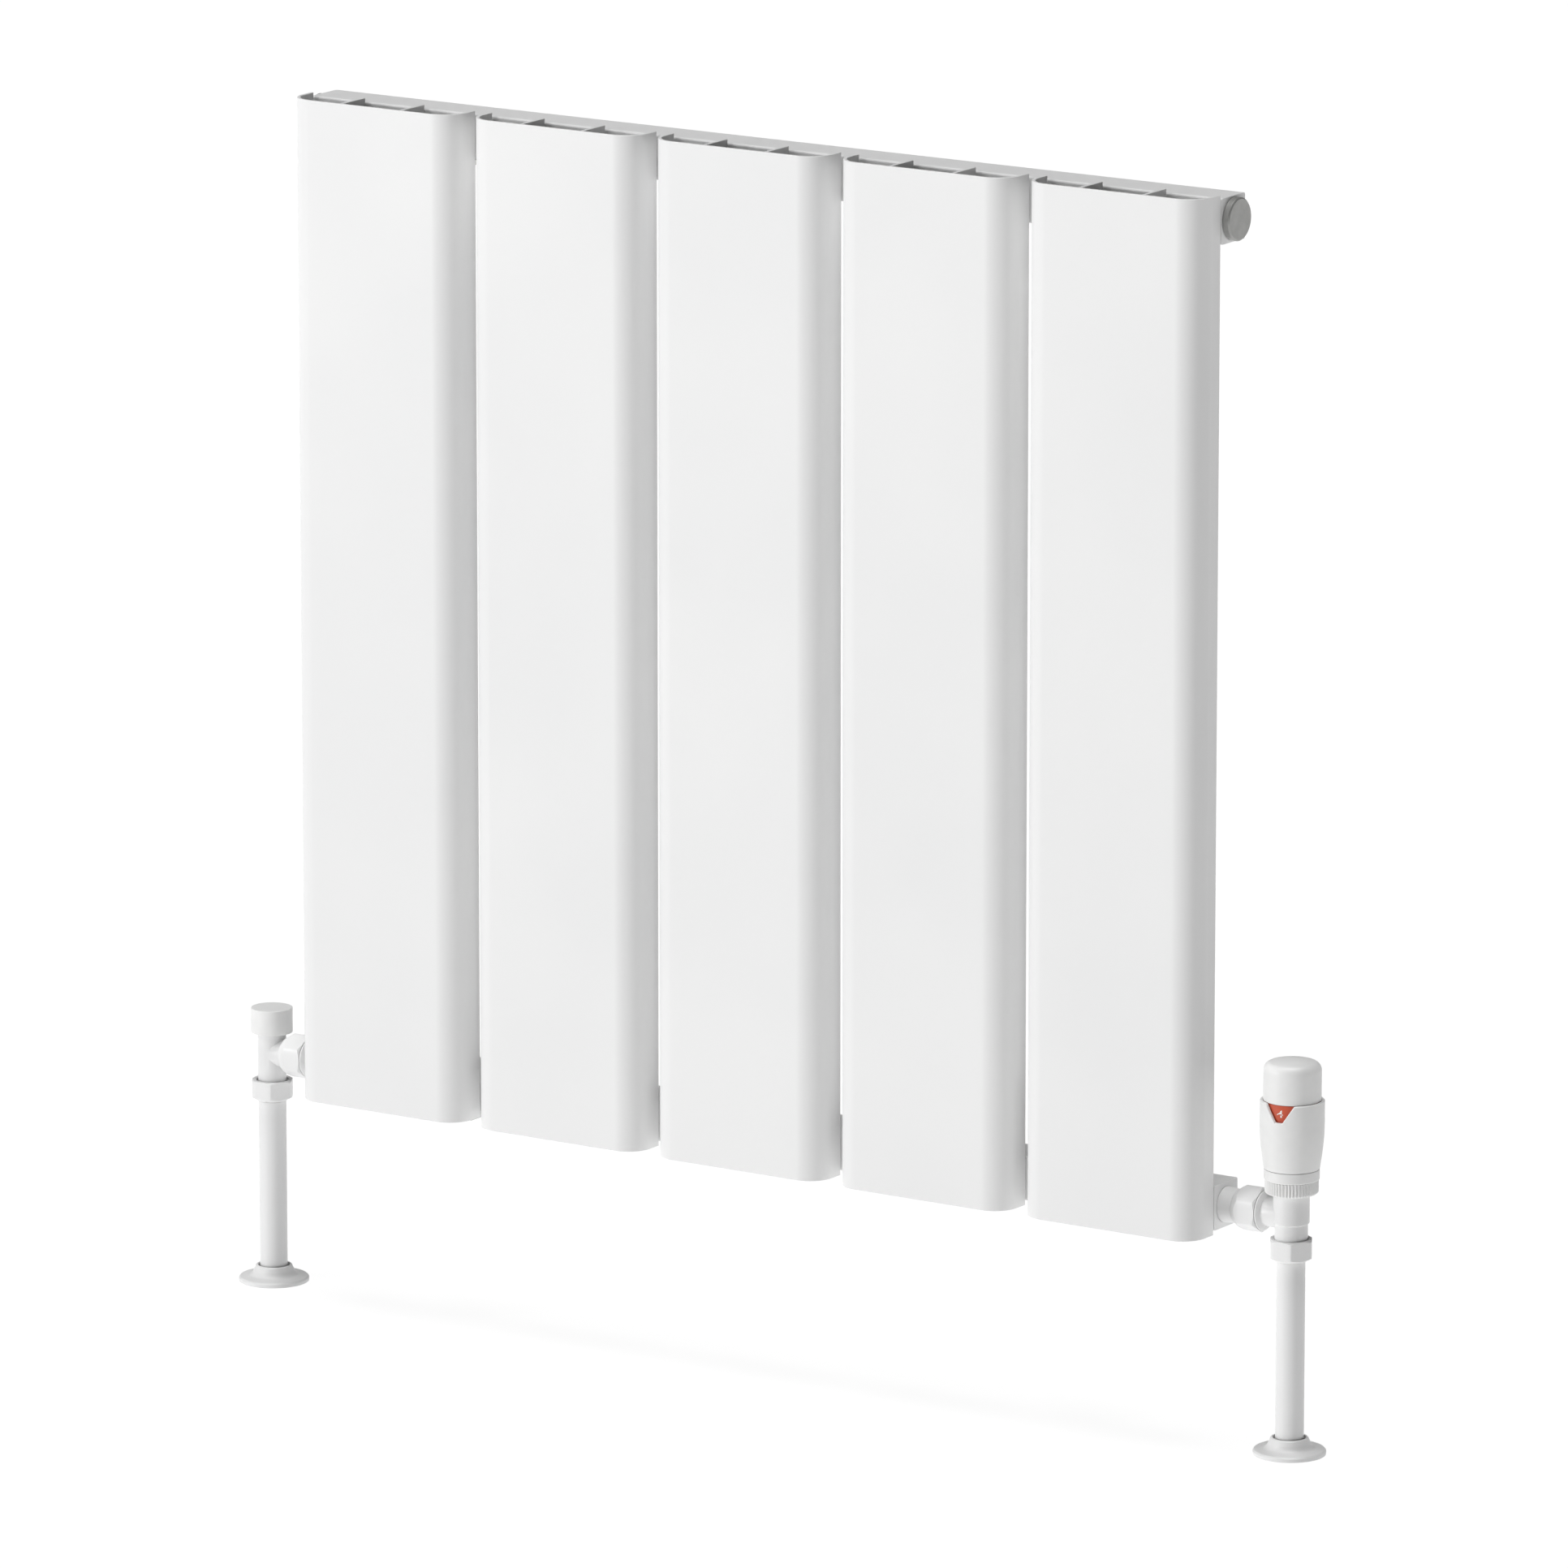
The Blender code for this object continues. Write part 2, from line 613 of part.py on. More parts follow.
def make_trv_body(axis, branch_axis):
    thread, head_thread = 9.8 * mm, 12 * mm
    bottom = TRV_NUT_BOTTOM + 6.4 * mm
    neck, upper = BODY_RADIUS, 9.4 * mm
    outside = [
        (0, bottom),
        (thread, bottom),
        (thread, TRV_NUT_TOP - GAP),
        (neck, TRV_NUT_TOP),
        (neck, TRV_STEP - 0.4 * mm),
        (upper, TRV_STEP),
        (upper, TRV_KNURL_BOTTOM + 0.6 * mm),
        (head_thread, TRV_KNURL_BOTTOM + 0.6 * mm),
        (head_thread, TRV_KNURL_BOTTOM + 2.6 * mm),
        (0, TRV_KNURL_BOTTOM + 2.6 * mm),
    ]
    body = turned("trv_valve_body", outside, white_coat("trv_body_coat"), axis)
    start, nut_end = 19.3 * mm, 25.2 * mm
    branch = [
        (0, start),
        (10.1 * mm, start),
        (10.1 * mm, nut_end),
        (11.6 * mm, nut_end + GAP),
        (11.6 * mm, nut_end + mm),
        (BRANCH_RADIUS, nut_end + 2.6 * mm),
        (BRANCH_RADIUS, VALVE_OUT),
        (0, VALVE_OUT),
    ]
    arm = cutter("trv_branch", turned_mesh("trv_branch", branch), branch_axis)
    top = TRV_KNURL_BOTTOM + 2.6 * mm
    stop, seat_low = TRV_PIPE_TOP + GAP, 132 * mm
    chamber_top = TRV_INSERT_LOW - GAP
    hollow = socket_outline(bottom, stop, seat_low, TRV_SEAT, 6.6 * mm, chamber_top, 7.3 * mm, top)
    inside = cutter("trv_hollow", turned_mesh("trv_hollow", hollow), axis)
    branch_bore = turned_mesh("trv_branch_bore", rod_outline(5.6 * mm, start - mm, VALVE_OUT))
    combine(body, "UNION", arm)
    combine(body, "DIFFERENCE", inside, cutter("trv_branch_bore", branch_bore, branch_axis))


def coil_mesh(name, radius, wire, low, high, turns):
    """A helical spring with plain ends, as one swept round wire."""
    steps_a_turn, sides = 12, 6
    steps = int(turns * steps_a_turn)

    def build(shape):
        rings = []
        for i in range(steps + 1):
            turn = 2 * math.pi * i / steps_a_turn
            height = low + wire + (high - low - 2 * wire) * i / steps
            ring = []
            for k in range(sides):
                around = 2 * math.pi * k / sides
                reach = radius + wire * math.cos(around)
                rise = height + wire * math.sin(around)
                ring.append(shape.verts.new((reach * math.cos(turn), reach * math.sin(turn), rise)))
            rings.append(ring)
        for ring, following in zip(rings, rings[1:]):
            for k in range(sides):
                shape.faces.new([ring[k], ring[(k + 1) % sides], following[(k + 1) % sides], following[k]])
        shape.faces.new(rings[0])
        shape.faces.new(rings[-1])

    mesh = mesh_from(name, build)
    mesh.shade_smooth()
    return mesh


def make_trv_inside(axis):
    """Disc on its spindle, return spring, insert with its gland, all under the thermostatic head."""
    pin = 1.5 * mm
    insert_low, insert_top = TRV_INSERT_LOW, TRV_INSERT_LOW + 11.4 * mm
    cavity = 4.8 * mm
    insert = [
        (pin + 0.05 * mm, insert_low),
        (7.0 * mm, insert_low),
        (7.0 * mm, insert_top),
        (cavity, insert_top),
        (cavity, insert_low + 1.6 * mm),
        (pin + 0.05 * mm, insert_low + 1.6 * mm),
    ]
    turned("trv_insert", insert, brass("trv_insert_brass"), axis, SMALL_ROUND)
    gland_low = insert_top + GAP
    gland = [
        (pin + 0.05 * mm, gland_low),
        (6.8 * mm, gland_low),
        (6.8 * mm, gland_low + 1.2 * mm),
        (4.2 * mm, gland_low + 2.6 * mm),
        (pin + 0.05 * mm, gland_low + 2.6 * mm),
    ]
    turned("trv_gland_nut", gland, brass("trv_gland_brass"), axis, SMALL_ROUND)

    disc_low = TRV_SEAT + DISC_LIFT
    collar_low = insert_top - 2.6 * mm
    spindle = [
        (0, disc_low + 3.3 * mm),
        (pin, disc_low + 3.3 * mm),
        (pin, collar_low),
        (cavity - 0.5 * mm, collar_low),
        (cavity - 0.5 * mm, collar_low + mm),
        (pin, collar_low + mm),
        (pin, TRV_KNURL_TOP + 2.5 * mm),
        (0, TRV_KNURL_TOP + 2.5 * mm),
    ]
    turned("trv_spindle", spindle, steel("trv_spindle_steel"), axis, SMALL_ROUND)
    disc_top = disc_low + 3 * mm
    disc = [
        (0, disc_low),
        (5.4 * mm, disc_low),
        (5.8 * mm, disc_low + 0.6 * mm),
        (5.8 * mm, disc_top),
        (0, disc_top),
    ]
    turned("trv_disc", disc, rubber("trv_disc_rubber"), axis, SMALL_ROUND)
    spring_low, spring_high = insert_low + 1.6 * mm + GAP, collar_low - GAP
    spring = coil_mesh("trv_return_spring", 3.6 * mm, 0.35 * mm, spring_low, spring_high, 4)
    add_object("trv_return_spring", spring, steel("trv_spring_steel"), axis)


def sleeve_radius(height):
    """Outer radius of the head's sleeve: nearly straight at the rim, drawn in towards the base."""
    low, high = 16.0 * mm, 18.5 * mm
    share = min(1.0, (height - TRV_BASE_TOP) / (26 * mm))
    return low + (high - low) * math.sin(share * math.pi / 2)


def make_trv_head(axis):
    knurl = [
        (12.3 * mm, TRV_KNURL_BOTTOM),
        (14.6 * mm, TRV_KNURL_BOTTOM),
        (15.4 * mm, TRV_KNURL_BOTTOM + 0.8 * mm),
        (15.4 * mm, TRV_KNURL_TOP - GAP),
        (11.3 * mm, TRV_KNURL_TOP - GAP),
        (11.3 * mm, TRV_KNURL_TOP - 1.6 * mm),
        (12.3 * mm, TRV_KNURL_TOP - 1.6 * mm),
    ]
    turned("trv_knurled_nut", knurl, white_plastic("trv_knurled_nut_plastic"), axis, HEAD_ROUND)

    stub, guide, guide_bore = 11 * mm, 11.6 * mm, 9.4 * mm
    base = [
        (guide_bore, TRV_KNURL_TOP + 3 * mm),
        (7.4 * mm, TRV_KNURL_TOP + 3 * mm),
        (7.4 * mm, TRV_KNURL_TOP - 2.8 * mm),
        (12 * mm, TRV_KNURL_TOP - 2.8 * mm),
        (12 * mm, TRV_KNURL_TOP - 1.9 * mm),
        (stub, TRV_KNURL_TOP - 1.9 * mm),
        (stub, TRV_KNURL_TOP),
        (15.5 * mm, TRV_KNURL_TOP),
        (15.9 * mm, TRV_KNURL_TOP + 0.5 * mm),
        (15.9 * mm, TRV_BASE_TOP - GAP),
        (guide, TRV_BASE_TOP - GAP),
        (guide, TRV_RIM - 12 * mm),
        (guide_bore, TRV_RIM - 12 * mm),
    ]
    turned("trv_head_base", base, white_plastic("trv_head_base_plastic"), axis, HEAD_ROUND)

    wall = 1.7 * mm
    heights = [TRV_BASE_TOP + (TRV_RIM - TRV_BASE_TOP) * i / 8 for i in range(9)]
    outside = [(sleeve_radius(h), h) for h in heights[:-1]]
    outside += [(sleeve_radius(TRV_RIM), TRV_RIM - 0.5 * mm), (sleeve_radius(TRV_RIM) - 0.5 * mm, TRV_RIM)]
    inside = [(sleeve_radius(h) - wall, h) for h in (heights[8], heights[5], heights[2], heights[0])]
    sleeve_surface = white_plastic("trv_outer_sleeve_plastic")
    sleeve = turned("trv_outer_sleeve", outside + inside, sleeve_surface, axis, HEAD_ROUND)
    window = cutter("trv_window", window_mesh(), axis)
    window.rotation_euler = (0, 0, WINDOW_TURN)
    combine(sleeve, "DIFFERENCE", window)

    drum_low, drum_high = TRV_RIM - 12.5 * mm, TRV_RIM - GAP
    drum_surface = material("trv_number_drum_red", (0.58, 0.09, 0.035), 0.45)
    tube("trv_number_drum", 15.7 * mm, 16.3 * mm, drum_low, drum_high, drum_surface, axis, HEAD_ROUND)
    make_handwheel(axis)
    sensor = [
        (0, TRV_KNURL_TOP + 2.8 * mm),
        (3.4 * mm, TRV_KNURL_TOP + 2.8 * mm),
        (3.4 * mm, TRV_BASE_TOP + 1.2 * mm),
        (9.1 * mm, TRV_BASE_TOP + 2.4 * mm),
        (9.1 * mm, TRV_RIM + 14 * mm),
        (7.6 * mm, TRV_RIM + 16 * mm),
        (0, TRV_RIM + 16 * mm),
    ]
    turned("trv_sensor", sensor, brass("trv_sensor_brass"), axis, SMALL_ROUND)


def window_mesh():
    """A wedge that cuts the reading window, which is a trapezium open at the sleeve's rim."""
    slope = (WINDOW_TOP - WINDOW_BOTTOM) / WINDOW_DEPTH
    overshoot = 2 * mm
    widest = WINDOW_TOP + slope * overshoot
    outline = [
        (-WINDOW_BOTTOM, TRV_RIM - WINDOW_DEPTH),
        (WINDOW_BOTTOM, TRV_RIM - WINDOW_DEPTH),
        (widest, TRV_RIM + overshoot),
        (-widest, TRV_RIM + overshoot),
    ]

    def build(shape):
        near, far = -12 * mm, -25 * mm
        front = [shape.verts.new((x, far, z)) for x, z in outline]
        back = [shape.verts.new((x, near, z)) for x, z in outline]
        shape.faces.new(front)
        shape.faces.new(back)
        for i in range(4):
            k = (i + 1) % 4
            shape.faces.new([front[i], front[k], back[k], back[i]])

    return mesh_from("trv_window", build)


def make_handwheel(axis):
    """A domed cap. Its skirt goes down inside the number drum and turns on the base's guide."""
    skirt, wall = 15.4 * mm, 1.6 * mm
    skirt_low = TRV_RIM - 16 * mm
    edge = 5 * mm
    shoulder = TRV_TOP - 1.2 * mm - edge
    crown = arc((HANDWHEEL_RADIUS - edge, shoulder), edge, 0, 80, 5)
    inner_top = TRV_TOP - 2.4 * mm
    dome = [(skirt, skirt_low), (skirt, TRV_RIM), (HANDWHEEL_RADIUS, TRV_RIM)] + crown + [(0, TRV_TOP)]
    boss, boss_low = 4 * mm, TRV_RIM + 17.2 * mm
    dome += [(0, boss_low), (boss, boss_low), (boss, inner_top), (skirt - wall - 3 * mm, inner_top)]
    dome += [(skirt - wall, inner_top - 4 * mm), (skirt - wall, skirt_low + 1.6 * mm)]
    dome += [(11.75 * mm, skirt_low + 1.6 * mm), (11.75 * mm, skirt_low)]
    turned("trv_handwheel", dome, white_plastic("trv_handwheel_plastic"), axis, HEAD_ROUND)


def make_trv():
    axis = axis_empty("trv_axis", (VALVE_X, HEADER_AXIS_Y, 0))
    branch_axis = make_trv_connection()
    make_foot("trv", axis, TRV_NUT_BOTTOM, TRV_NUT_TOP, TRV_PIPE_TOP)
    make_trv_body(axis, branch_axis)
    make_trv_inside(axis)
    make_trv_head(axis)


# ---------------------------------------------------------------- lockshield valve, on the left
LOCK_NUT_BOTTOM = 112.7 * mm
LOCK_NUT_TOP = 123.7 * mm
LOCK_PIPE_TOP = 127.5 * mm
LOCK_CAP_BOTTOM = 152.6 * mm
LOCK_CAP_TOP = 167.6 * mm
LOCK_SEAT = 131 * mm
PLUG_LIFT = 2.9 * mm           # of the lockshield's plug over its seat, at rest
LOCK_GLAND_LOW = 148.3 * mm


def make_lockshield_connection(axis):
    """Tail and union nut, counted from the valve's upright axis towards the header."""
    bore, thread, neck = 6 * mm, 10.1 * mm, 9.2 * mm
    start, nut_end = 22.3 * mm, 27.4 * mm
    tail = [
        (bore, start),
        (thread, start),
        (thread, nut_end),
        (11.6 * mm, nut_end + GAP),
        (11.6 * mm, nut_end + mm),
        (neck, nut_end + 2.6 * mm),
        (neck, VALVE_OUT - GAP),
        (THREAD_RADIUS, VALVE_OUT),
        (THREAD_RADIUS, VALVE_OUT + HEADER_END_WALL - mm),
        (bore, VALVE_OUT + HEADER_END_WALL - mm),
    ]
    turned("lockshield_tail", tail, white_coat("lockshield_tail_coat"), axis)
    blank = nut_profile(BODY_RADIUS + GAP, 10.4 * mm, 11.4 * mm, 19.6 * mm, nut_end, 10.2 * mm)
    nut_coat = white_coat("lockshield_union_nut_coat")
    hex_nut("lockshield_union_nut", blank, UNION_FLATS, 0, nut_coat, axis)


def make_lockshield_body(axis, branch_axis):
    bottom = LOCK_NUT_BOTTOM + 6.4 * mm
    thread, flange = 9.8 * mm, 10.3 * mm
    top = LOCK_CAP_BOTTOM + 4.6 * mm
    outside = [
        (0, bottom),
        (thread, bottom),
        (thread, LOCK_NUT_TOP - GAP),
        (BODY_RADIUS, LOCK_NUT_TOP),
        (BODY_RADIUS, LOCK_CAP_BOTTOM + 1.2 * mm),
        (flange, LOCK_CAP_BOTTOM + 1.8 * mm),
        (flange, top),
        (0, top),
    ]
    body = turned("lockshield_valve_body", outside, white_coat("lockshield_body_coat"), axis)
    branch = [
        (0, 0),
        (BODY_RADIUS - 0.1 * mm, 0),
        (BODY_RADIUS - 0.1 * mm, 20 * mm),
        (9.9 * mm, 20 * mm),
        (9.9 * mm, 22 * mm),
        (0, 22 * mm),
    ]
    arm = cutter("lockshield_branch", turned_mesh("lockshield_branch", branch), branch_axis)
    stop, seat_low = LOCK_PIPE_TOP + GAP, 128.8 * mm
    chamber_top = LOCK_GLAND_LOW - GAP
    hollow = socket_outline(bottom, stop, seat_low, LOCK_SEAT, 6.0 * mm, chamber_top, 6.6 * mm, top)
    inside = cutter("lockshield_hollow", turned_mesh("lockshield_hollow", hollow), axis)
    bore_mesh = turned_mesh("lockshield_branch_bore", rod_outline(5.4 * mm, 0, 24 * mm))
    bore = cutter("lockshield_branch_bore", bore_mesh, branch_axis)
    combine(body, "UNION", arm)
    combine(body, "DIFFERENCE", inside, bore)


def make_lockshield_inside(axis):
    """Spindle, the plug that it drives, the gland and its ring, and the cap over them."""
    spindle_radius = 2.2 * mm
    bore = spindle_radius + RUNNING
    plug_low = LOCK_SEAT + PLUG_LIFT
    plug_top = plug_low + 9 * mm
    plug = [
        (0, plug_low - 2.6 * mm),
        (3.2 * mm, plug_low - 2.6 * mm),
        (5.4 * mm, plug_low),
        (5.4 * mm, plug_top),
        (bore, plug_top),
        (bore, plug_low + mm),
        (0, plug_low + mm),
    ]
    turned("lockshield_plug", plug, brass("lockshield_plug_brass"), axis, SMALL_ROUND)

    gland_low, gland_top = LOCK_GLAND_LOW, LOCK_CAP_BOTTOM + 7.4 * mm
    shoulder = LOCK_CAP_BOTTOM + 4.6 * mm + GAP
    gland = [
        (bore, gland_low),
        (6.3 * mm, gland_low),
        (6.3 * mm, shoulder),
        (7.6 * mm, shoulder),
        (7.6 * mm, gland_top),
        (4.1 * mm, gland_top),
        (4.1 * mm, gland_top - 2.4 * mm),
        (bore, gland_top - 2.4 * mm),
    ]
    turned("lockshield_gland", gland, brass("lockshield_gland_brass"), axis, SMALL_ROUND)
    ring_low = gland_top - 2.4 * mm + GAP
    ring = tube_outline(bore + 0.05 * mm, 3.9 * mm, ring_low, ring_low + 1.8 * mm)
    turned("lockshield_gland_seal", ring, rubber("lockshield_gland_rubber"), axis, SMALL_ROUND)

    end = LOCK_CAP_TOP - 3.4 * mm
    spindle = turned(
        "lockshield_spindle",
        rod_outline(spindle_radius, plug_low + 3.2 * mm, end - 3 * mm),
        steel("lockshield_spindle_steel"),
        axis,
        SMALL_ROUND,
    )
    key_mesh = prism_mesh("spindle_square", square(1.5 * mm), end - 4 * mm, end)
    key = cutter("spindle_square", key_mesh, axis)
    combine(spindle, "UNION", key)

    wall, radius, edge = 1.6 * mm, 12.4 * mm, 0.5 * mm
    cap = [
        (radius - wall, LOCK_CAP_BOTTOM),
        (radius - edge, LOCK_CAP_BOTTOM),
        (radius, LOCK_CAP_BOTTOM + edge),
        (radius, LOCK_CAP_TOP - edge),
        (radius - edge, LOCK_CAP_TOP),
        (0, LOCK_CAP_TOP),
        (0, LOCK_CAP_TOP - wall),
        (radius - wall, LOCK_CAP_TOP - wall),
    ]
    turned("lockshield_cap", cap, white_plastic("lockshield_cap_plastic"), axis)


def make_lockshield():
    axis = axis_empty("lockshield_axis", (-VALVE_X, HEADER_AXIS_Y, 0))
    branch_place = (-VALVE_X, HEADER_AXIS_Y, LOWER_HEADER_Z)
    branch_axis = axis_empty("lockshield_branch_axis", branch_place, along_x=True)
    make_lockshield_connection(branch_axis)
    make_foot("lockshield", axis, LOCK_NUT_BOTTOM, LOCK_NUT_TOP, LOCK_PIPE_TOP)
    make_lockshield_body(axis, branch_axis)
    make_lockshield_inside(axis)


start_empty()
make_radiator()
make_plugs()
make_brackets()
make_trv()
make_lockshield()
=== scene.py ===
"""Looks of a panel radiator with its valves: surfaces, finishes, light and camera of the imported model."""

import json
import math

import bmesh
import bpy
from mathutils import Matrix, Vector


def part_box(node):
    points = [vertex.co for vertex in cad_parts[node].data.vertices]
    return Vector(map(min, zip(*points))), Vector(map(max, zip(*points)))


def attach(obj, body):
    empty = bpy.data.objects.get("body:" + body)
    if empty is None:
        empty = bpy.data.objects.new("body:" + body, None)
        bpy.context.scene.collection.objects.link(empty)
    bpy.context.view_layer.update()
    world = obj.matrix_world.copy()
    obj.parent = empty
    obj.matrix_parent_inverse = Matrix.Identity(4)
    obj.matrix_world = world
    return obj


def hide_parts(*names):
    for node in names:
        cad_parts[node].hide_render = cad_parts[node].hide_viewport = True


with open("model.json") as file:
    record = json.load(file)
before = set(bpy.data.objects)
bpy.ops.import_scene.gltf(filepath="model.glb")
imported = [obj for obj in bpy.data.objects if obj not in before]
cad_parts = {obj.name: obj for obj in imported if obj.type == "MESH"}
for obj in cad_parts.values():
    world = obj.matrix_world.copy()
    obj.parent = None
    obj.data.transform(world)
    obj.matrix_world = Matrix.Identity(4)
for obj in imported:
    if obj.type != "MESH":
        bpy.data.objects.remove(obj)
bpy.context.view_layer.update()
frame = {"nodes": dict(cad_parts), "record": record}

mm = 0.001
FINE = 96                      # sides of a small turned piece
FINER = 144                    # sides of a larger turned piece, or of one seen close
GAP = 0.3 * mm                 # between neighbouring solids


# ---------------------------------------------------------------- places read from the frame
def low(node):
    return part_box(node)[0]


def high(node):
    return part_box(node)[1]


def middle(node):
    return (low(node) + high(node)) / 2


TRV = middle("trv_handwheel")
LOCK = middle("lockshield_cap")
TRV_BRANCH = middle("trv_union_nut")
LOCK_BRANCH = middle("lockshield_union_nut")
HEADER_END = high("bottom_header").x


def upright(centre):
    """Stands a piece on its axis at the centre's x and y, with its heights as world heights."""
    return Matrix.Translation((centre.x, centre.y, 0))


def sideways(x, centre, towards=1):
    """Lays a piece along world X from x, with its heights counted towards +X or -X."""
    return Matrix.Translation((x, centre.y, centre.z)) @ Matrix.Rotation(towards * math.pi / 2, 4, "Y")


# ---------------------------------------------------------------- materials
class Nodes:
    """A new material's node tree, with short calls for the nodes that the finishes use."""

    def __init__(self, name):
        self.material = bpy.data.materials.new(name)
        self.material.use_nodes = True
        self.tree = self.material.node_tree
        self.shader = self.tree.nodes["Principled BSDF"]
        self.place = self.tree.nodes.new("ShaderNodeTexCoord").outputs["Object"]

    def set(self, **values):
        for name, value in values.items():
            self.shader.inputs[name.replace("_", " ")].default_value = value

    def join(self, source, target):
        self.tree.links.new(source, target)

    def colour(self, source):
        self.join(source, self.shader.inputs["Base Color"])

    def roughness(self, source):
        self.join(source, self.shader.inputs["Roughness"])

    def noise(self, scale, detail=3.0, rough=0.5, stretch=(1, 1, 1)):
        vector = self.tree.nodes.new("ShaderNodeMapping")
        vector.inputs["Scale"].default_value = stretch
        self.join(self.place, vector.inputs["Vector"])
        made = self.tree.nodes.new("ShaderNodeTexNoise")
        made.inputs["Scale"].default_value = scale
        made.inputs["Detail"].default_value = detail
        made.inputs["Roughness"].default_value = rough
        self.join(vector.outputs["Vector"], made.inputs["Vector"])
        return made.outputs["Fac"]

    def cells(self, scale):
        made = self.tree.nodes.new("ShaderNodeTexVoronoi")
        made.inputs["Scale"].default_value = scale
        self.join(self.place, made.inputs["Vector"])
        return made.outputs["Distance"]

    def between(self, source, start, end, clamp=(0.35, 0.65)):
        """The source's values from clamp's first to its second, moved to run from start to end."""
        made = self.tree.nodes.new("ShaderNodeMapRange")
        made.inputs["From Min"].default_value = clamp[0]
        made.inputs["From Max"].default_value = clamp[1]
        made.inputs["To Min"].default_value = start
        made.inputs["To Max"].default_value = end
        self.join(source, made.inputs["Value"])
        return made.outputs["Result"]

    def mix(self, share, first, second):
        """A colour from first to second as share goes from 0 to 1. Either may be a colour or a socket."""
        made = self.tree.nodes.new("ShaderNodeMix")
        made.data_type = "RGBA"
        self.join(share, made.inputs["Factor"])
        for colour, name in ((first, "A"), (second, "B")):
            socket = [s for s in made.inputs if s.name == name and s.type == "RGBA"][0]
            if isinstance(colour, tuple):
                socket.default_value = (*colour, 1)
            else:
                self.join(colour, socket)
        return [s for s in made.outputs if s.type == "RGBA"][0]

    def bumps(self, *layers):
        """Stacks (height source, strength, distance) bumps, and returns the last one's normal."""
        normal = None
        for height, strength, distance in layers:
            made = self.tree.nodes.new("ShaderNodeBump")
            made.inputs["Strength"].default_value = strength
            made.inputs["Distance"].default_value = distance
            self.join(height, made.inputs["Height"])
            if normal:
                self.join(normal, made.inputs["Normal"])
            normal = made.outputs["Normal"]
        self.join(normal, self.shader.inputs["Normal"])


def powder_coat(name, tone):
    """Satin white powder coat: orange peel, fine grain and a faint drift of tone and gloss."""
    nodes = Nodes(name)
    pale = tuple(c * tone for c in (0.872, 0.872, 0.870))
    shade = tuple(c * tone for c in (0.846, 0.847, 0.847))
    grain_tone = tuple(c * 0.955 for c in pale)
    drift = nodes.between(nodes.noise(7, 2), 0, 1)
    speck = nodes.between(nodes.noise(2600, 2), 0, 1, (0.62, 0.74))
    broad = nodes.mix(drift, pale, shade)
    nodes.colour(nodes.mix(speck, broad, grain_tone))
    nodes.roughness(nodes.between(nodes.noise(260, 4), 0.33, 0.46))
    nodes.set(IOR=1.5, Coat_Weight=0.06, Coat_Roughness=0.25)
    peel = nodes.noise(620, 2, 0.45)
    grain = nodes.noise(2400, 2, 0.6)
    nodes.bumps((peel, 0.10, 0.0003), (grain, 0.06, 0.0001))
    return nodes.material


def moulded(name, colour, shade, roughness=(0.36, 0.48)):
    """Moulded plastic with a fine spark-eroded texture."""
    nodes = Nodes(name)
    drift = nodes.between(nodes.noise(90, 3), 0, 1)
    nodes.colour(nodes.mix(drift, colour, shade))
    nodes.roughness(nodes.between(nodes.noise(900, 3), *roughness))
    nodes.set(IOR=1.49)
    nodes.bumps((nodes.noise(3800, 2, 0.6), 0.12, 0.00008), (nodes.noise(350, 2), 0.05, 0.0003))
    return nodes.material


def machined(name, colour, shade, roughness, stretch=(0.05, 0.05, 1), metallic=1.0):
    """Metal with a mottled tarnish and fine marks. The stretch makes them run round the piece."""
    nodes = Nodes(name)
    tarnish = nodes.between(nodes.noise(160, 4, 0.6), 0, 1)
    marks = nodes.noise(5200, 2, 0.5, stretch)
    nodes.colour(nodes.mix(tarnish, colour, shade))
    nodes.roughness(nodes.between(marks, *roughness))
    nodes.set(Metallic=metallic)
    nodes.bumps((marks, 0.25, 0.00004), (nodes.noise(700, 3), 0.08, 0.00008))
    return nodes.material


def zinc_plate(name):
    """Passivated zinc on folded sheet: pale mottling, rolling lines and a few rub marks."""
    nodes = Nodes(name)
    mottle = nodes.between(nodes.noise(120, 5, 0.65), 0, 1)
    rolled = nodes.noise(900, 3, 0.5, (1, 1, 0.03))
    rub = nodes.between(nodes.noise(55, 4, 0.7), 0, 1, (0.56, 0.70))
    plated = nodes.mix(mottle, (0.58, 0.59, 0.58), (0.66, 0.66, 0.62))
    nodes.colour(nodes.mix(rub, plated, (0.50, 0.50, 0.49)))
    nodes.roughness(nodes.between(rolled, 0.30, 0.46))
    nodes.set(Metallic=1.0)
    nodes.bumps((rolled, 0.15, 0.00006), (nodes.cells(500), 0.05, 0.00005))
    return nodes.material


def soft_black(name):
    """Moulded sealing rubber with a dusty bloom."""
    nodes = Nodes(name)
    bloom = nodes.between(nodes.noise(240, 4, 0.6), 0, 1)
    nodes.colour(nodes.mix(bloom, (0.022, 0.022, 0.024), (0.055, 0.055, 0.058)))
    nodes.roughness(nodes.between(nodes.noise(1200, 3), 0.62, 0.82))
    nodes.bumps((nodes.noise(2600, 3), 0.2, 0.0001))
    return nodes.material


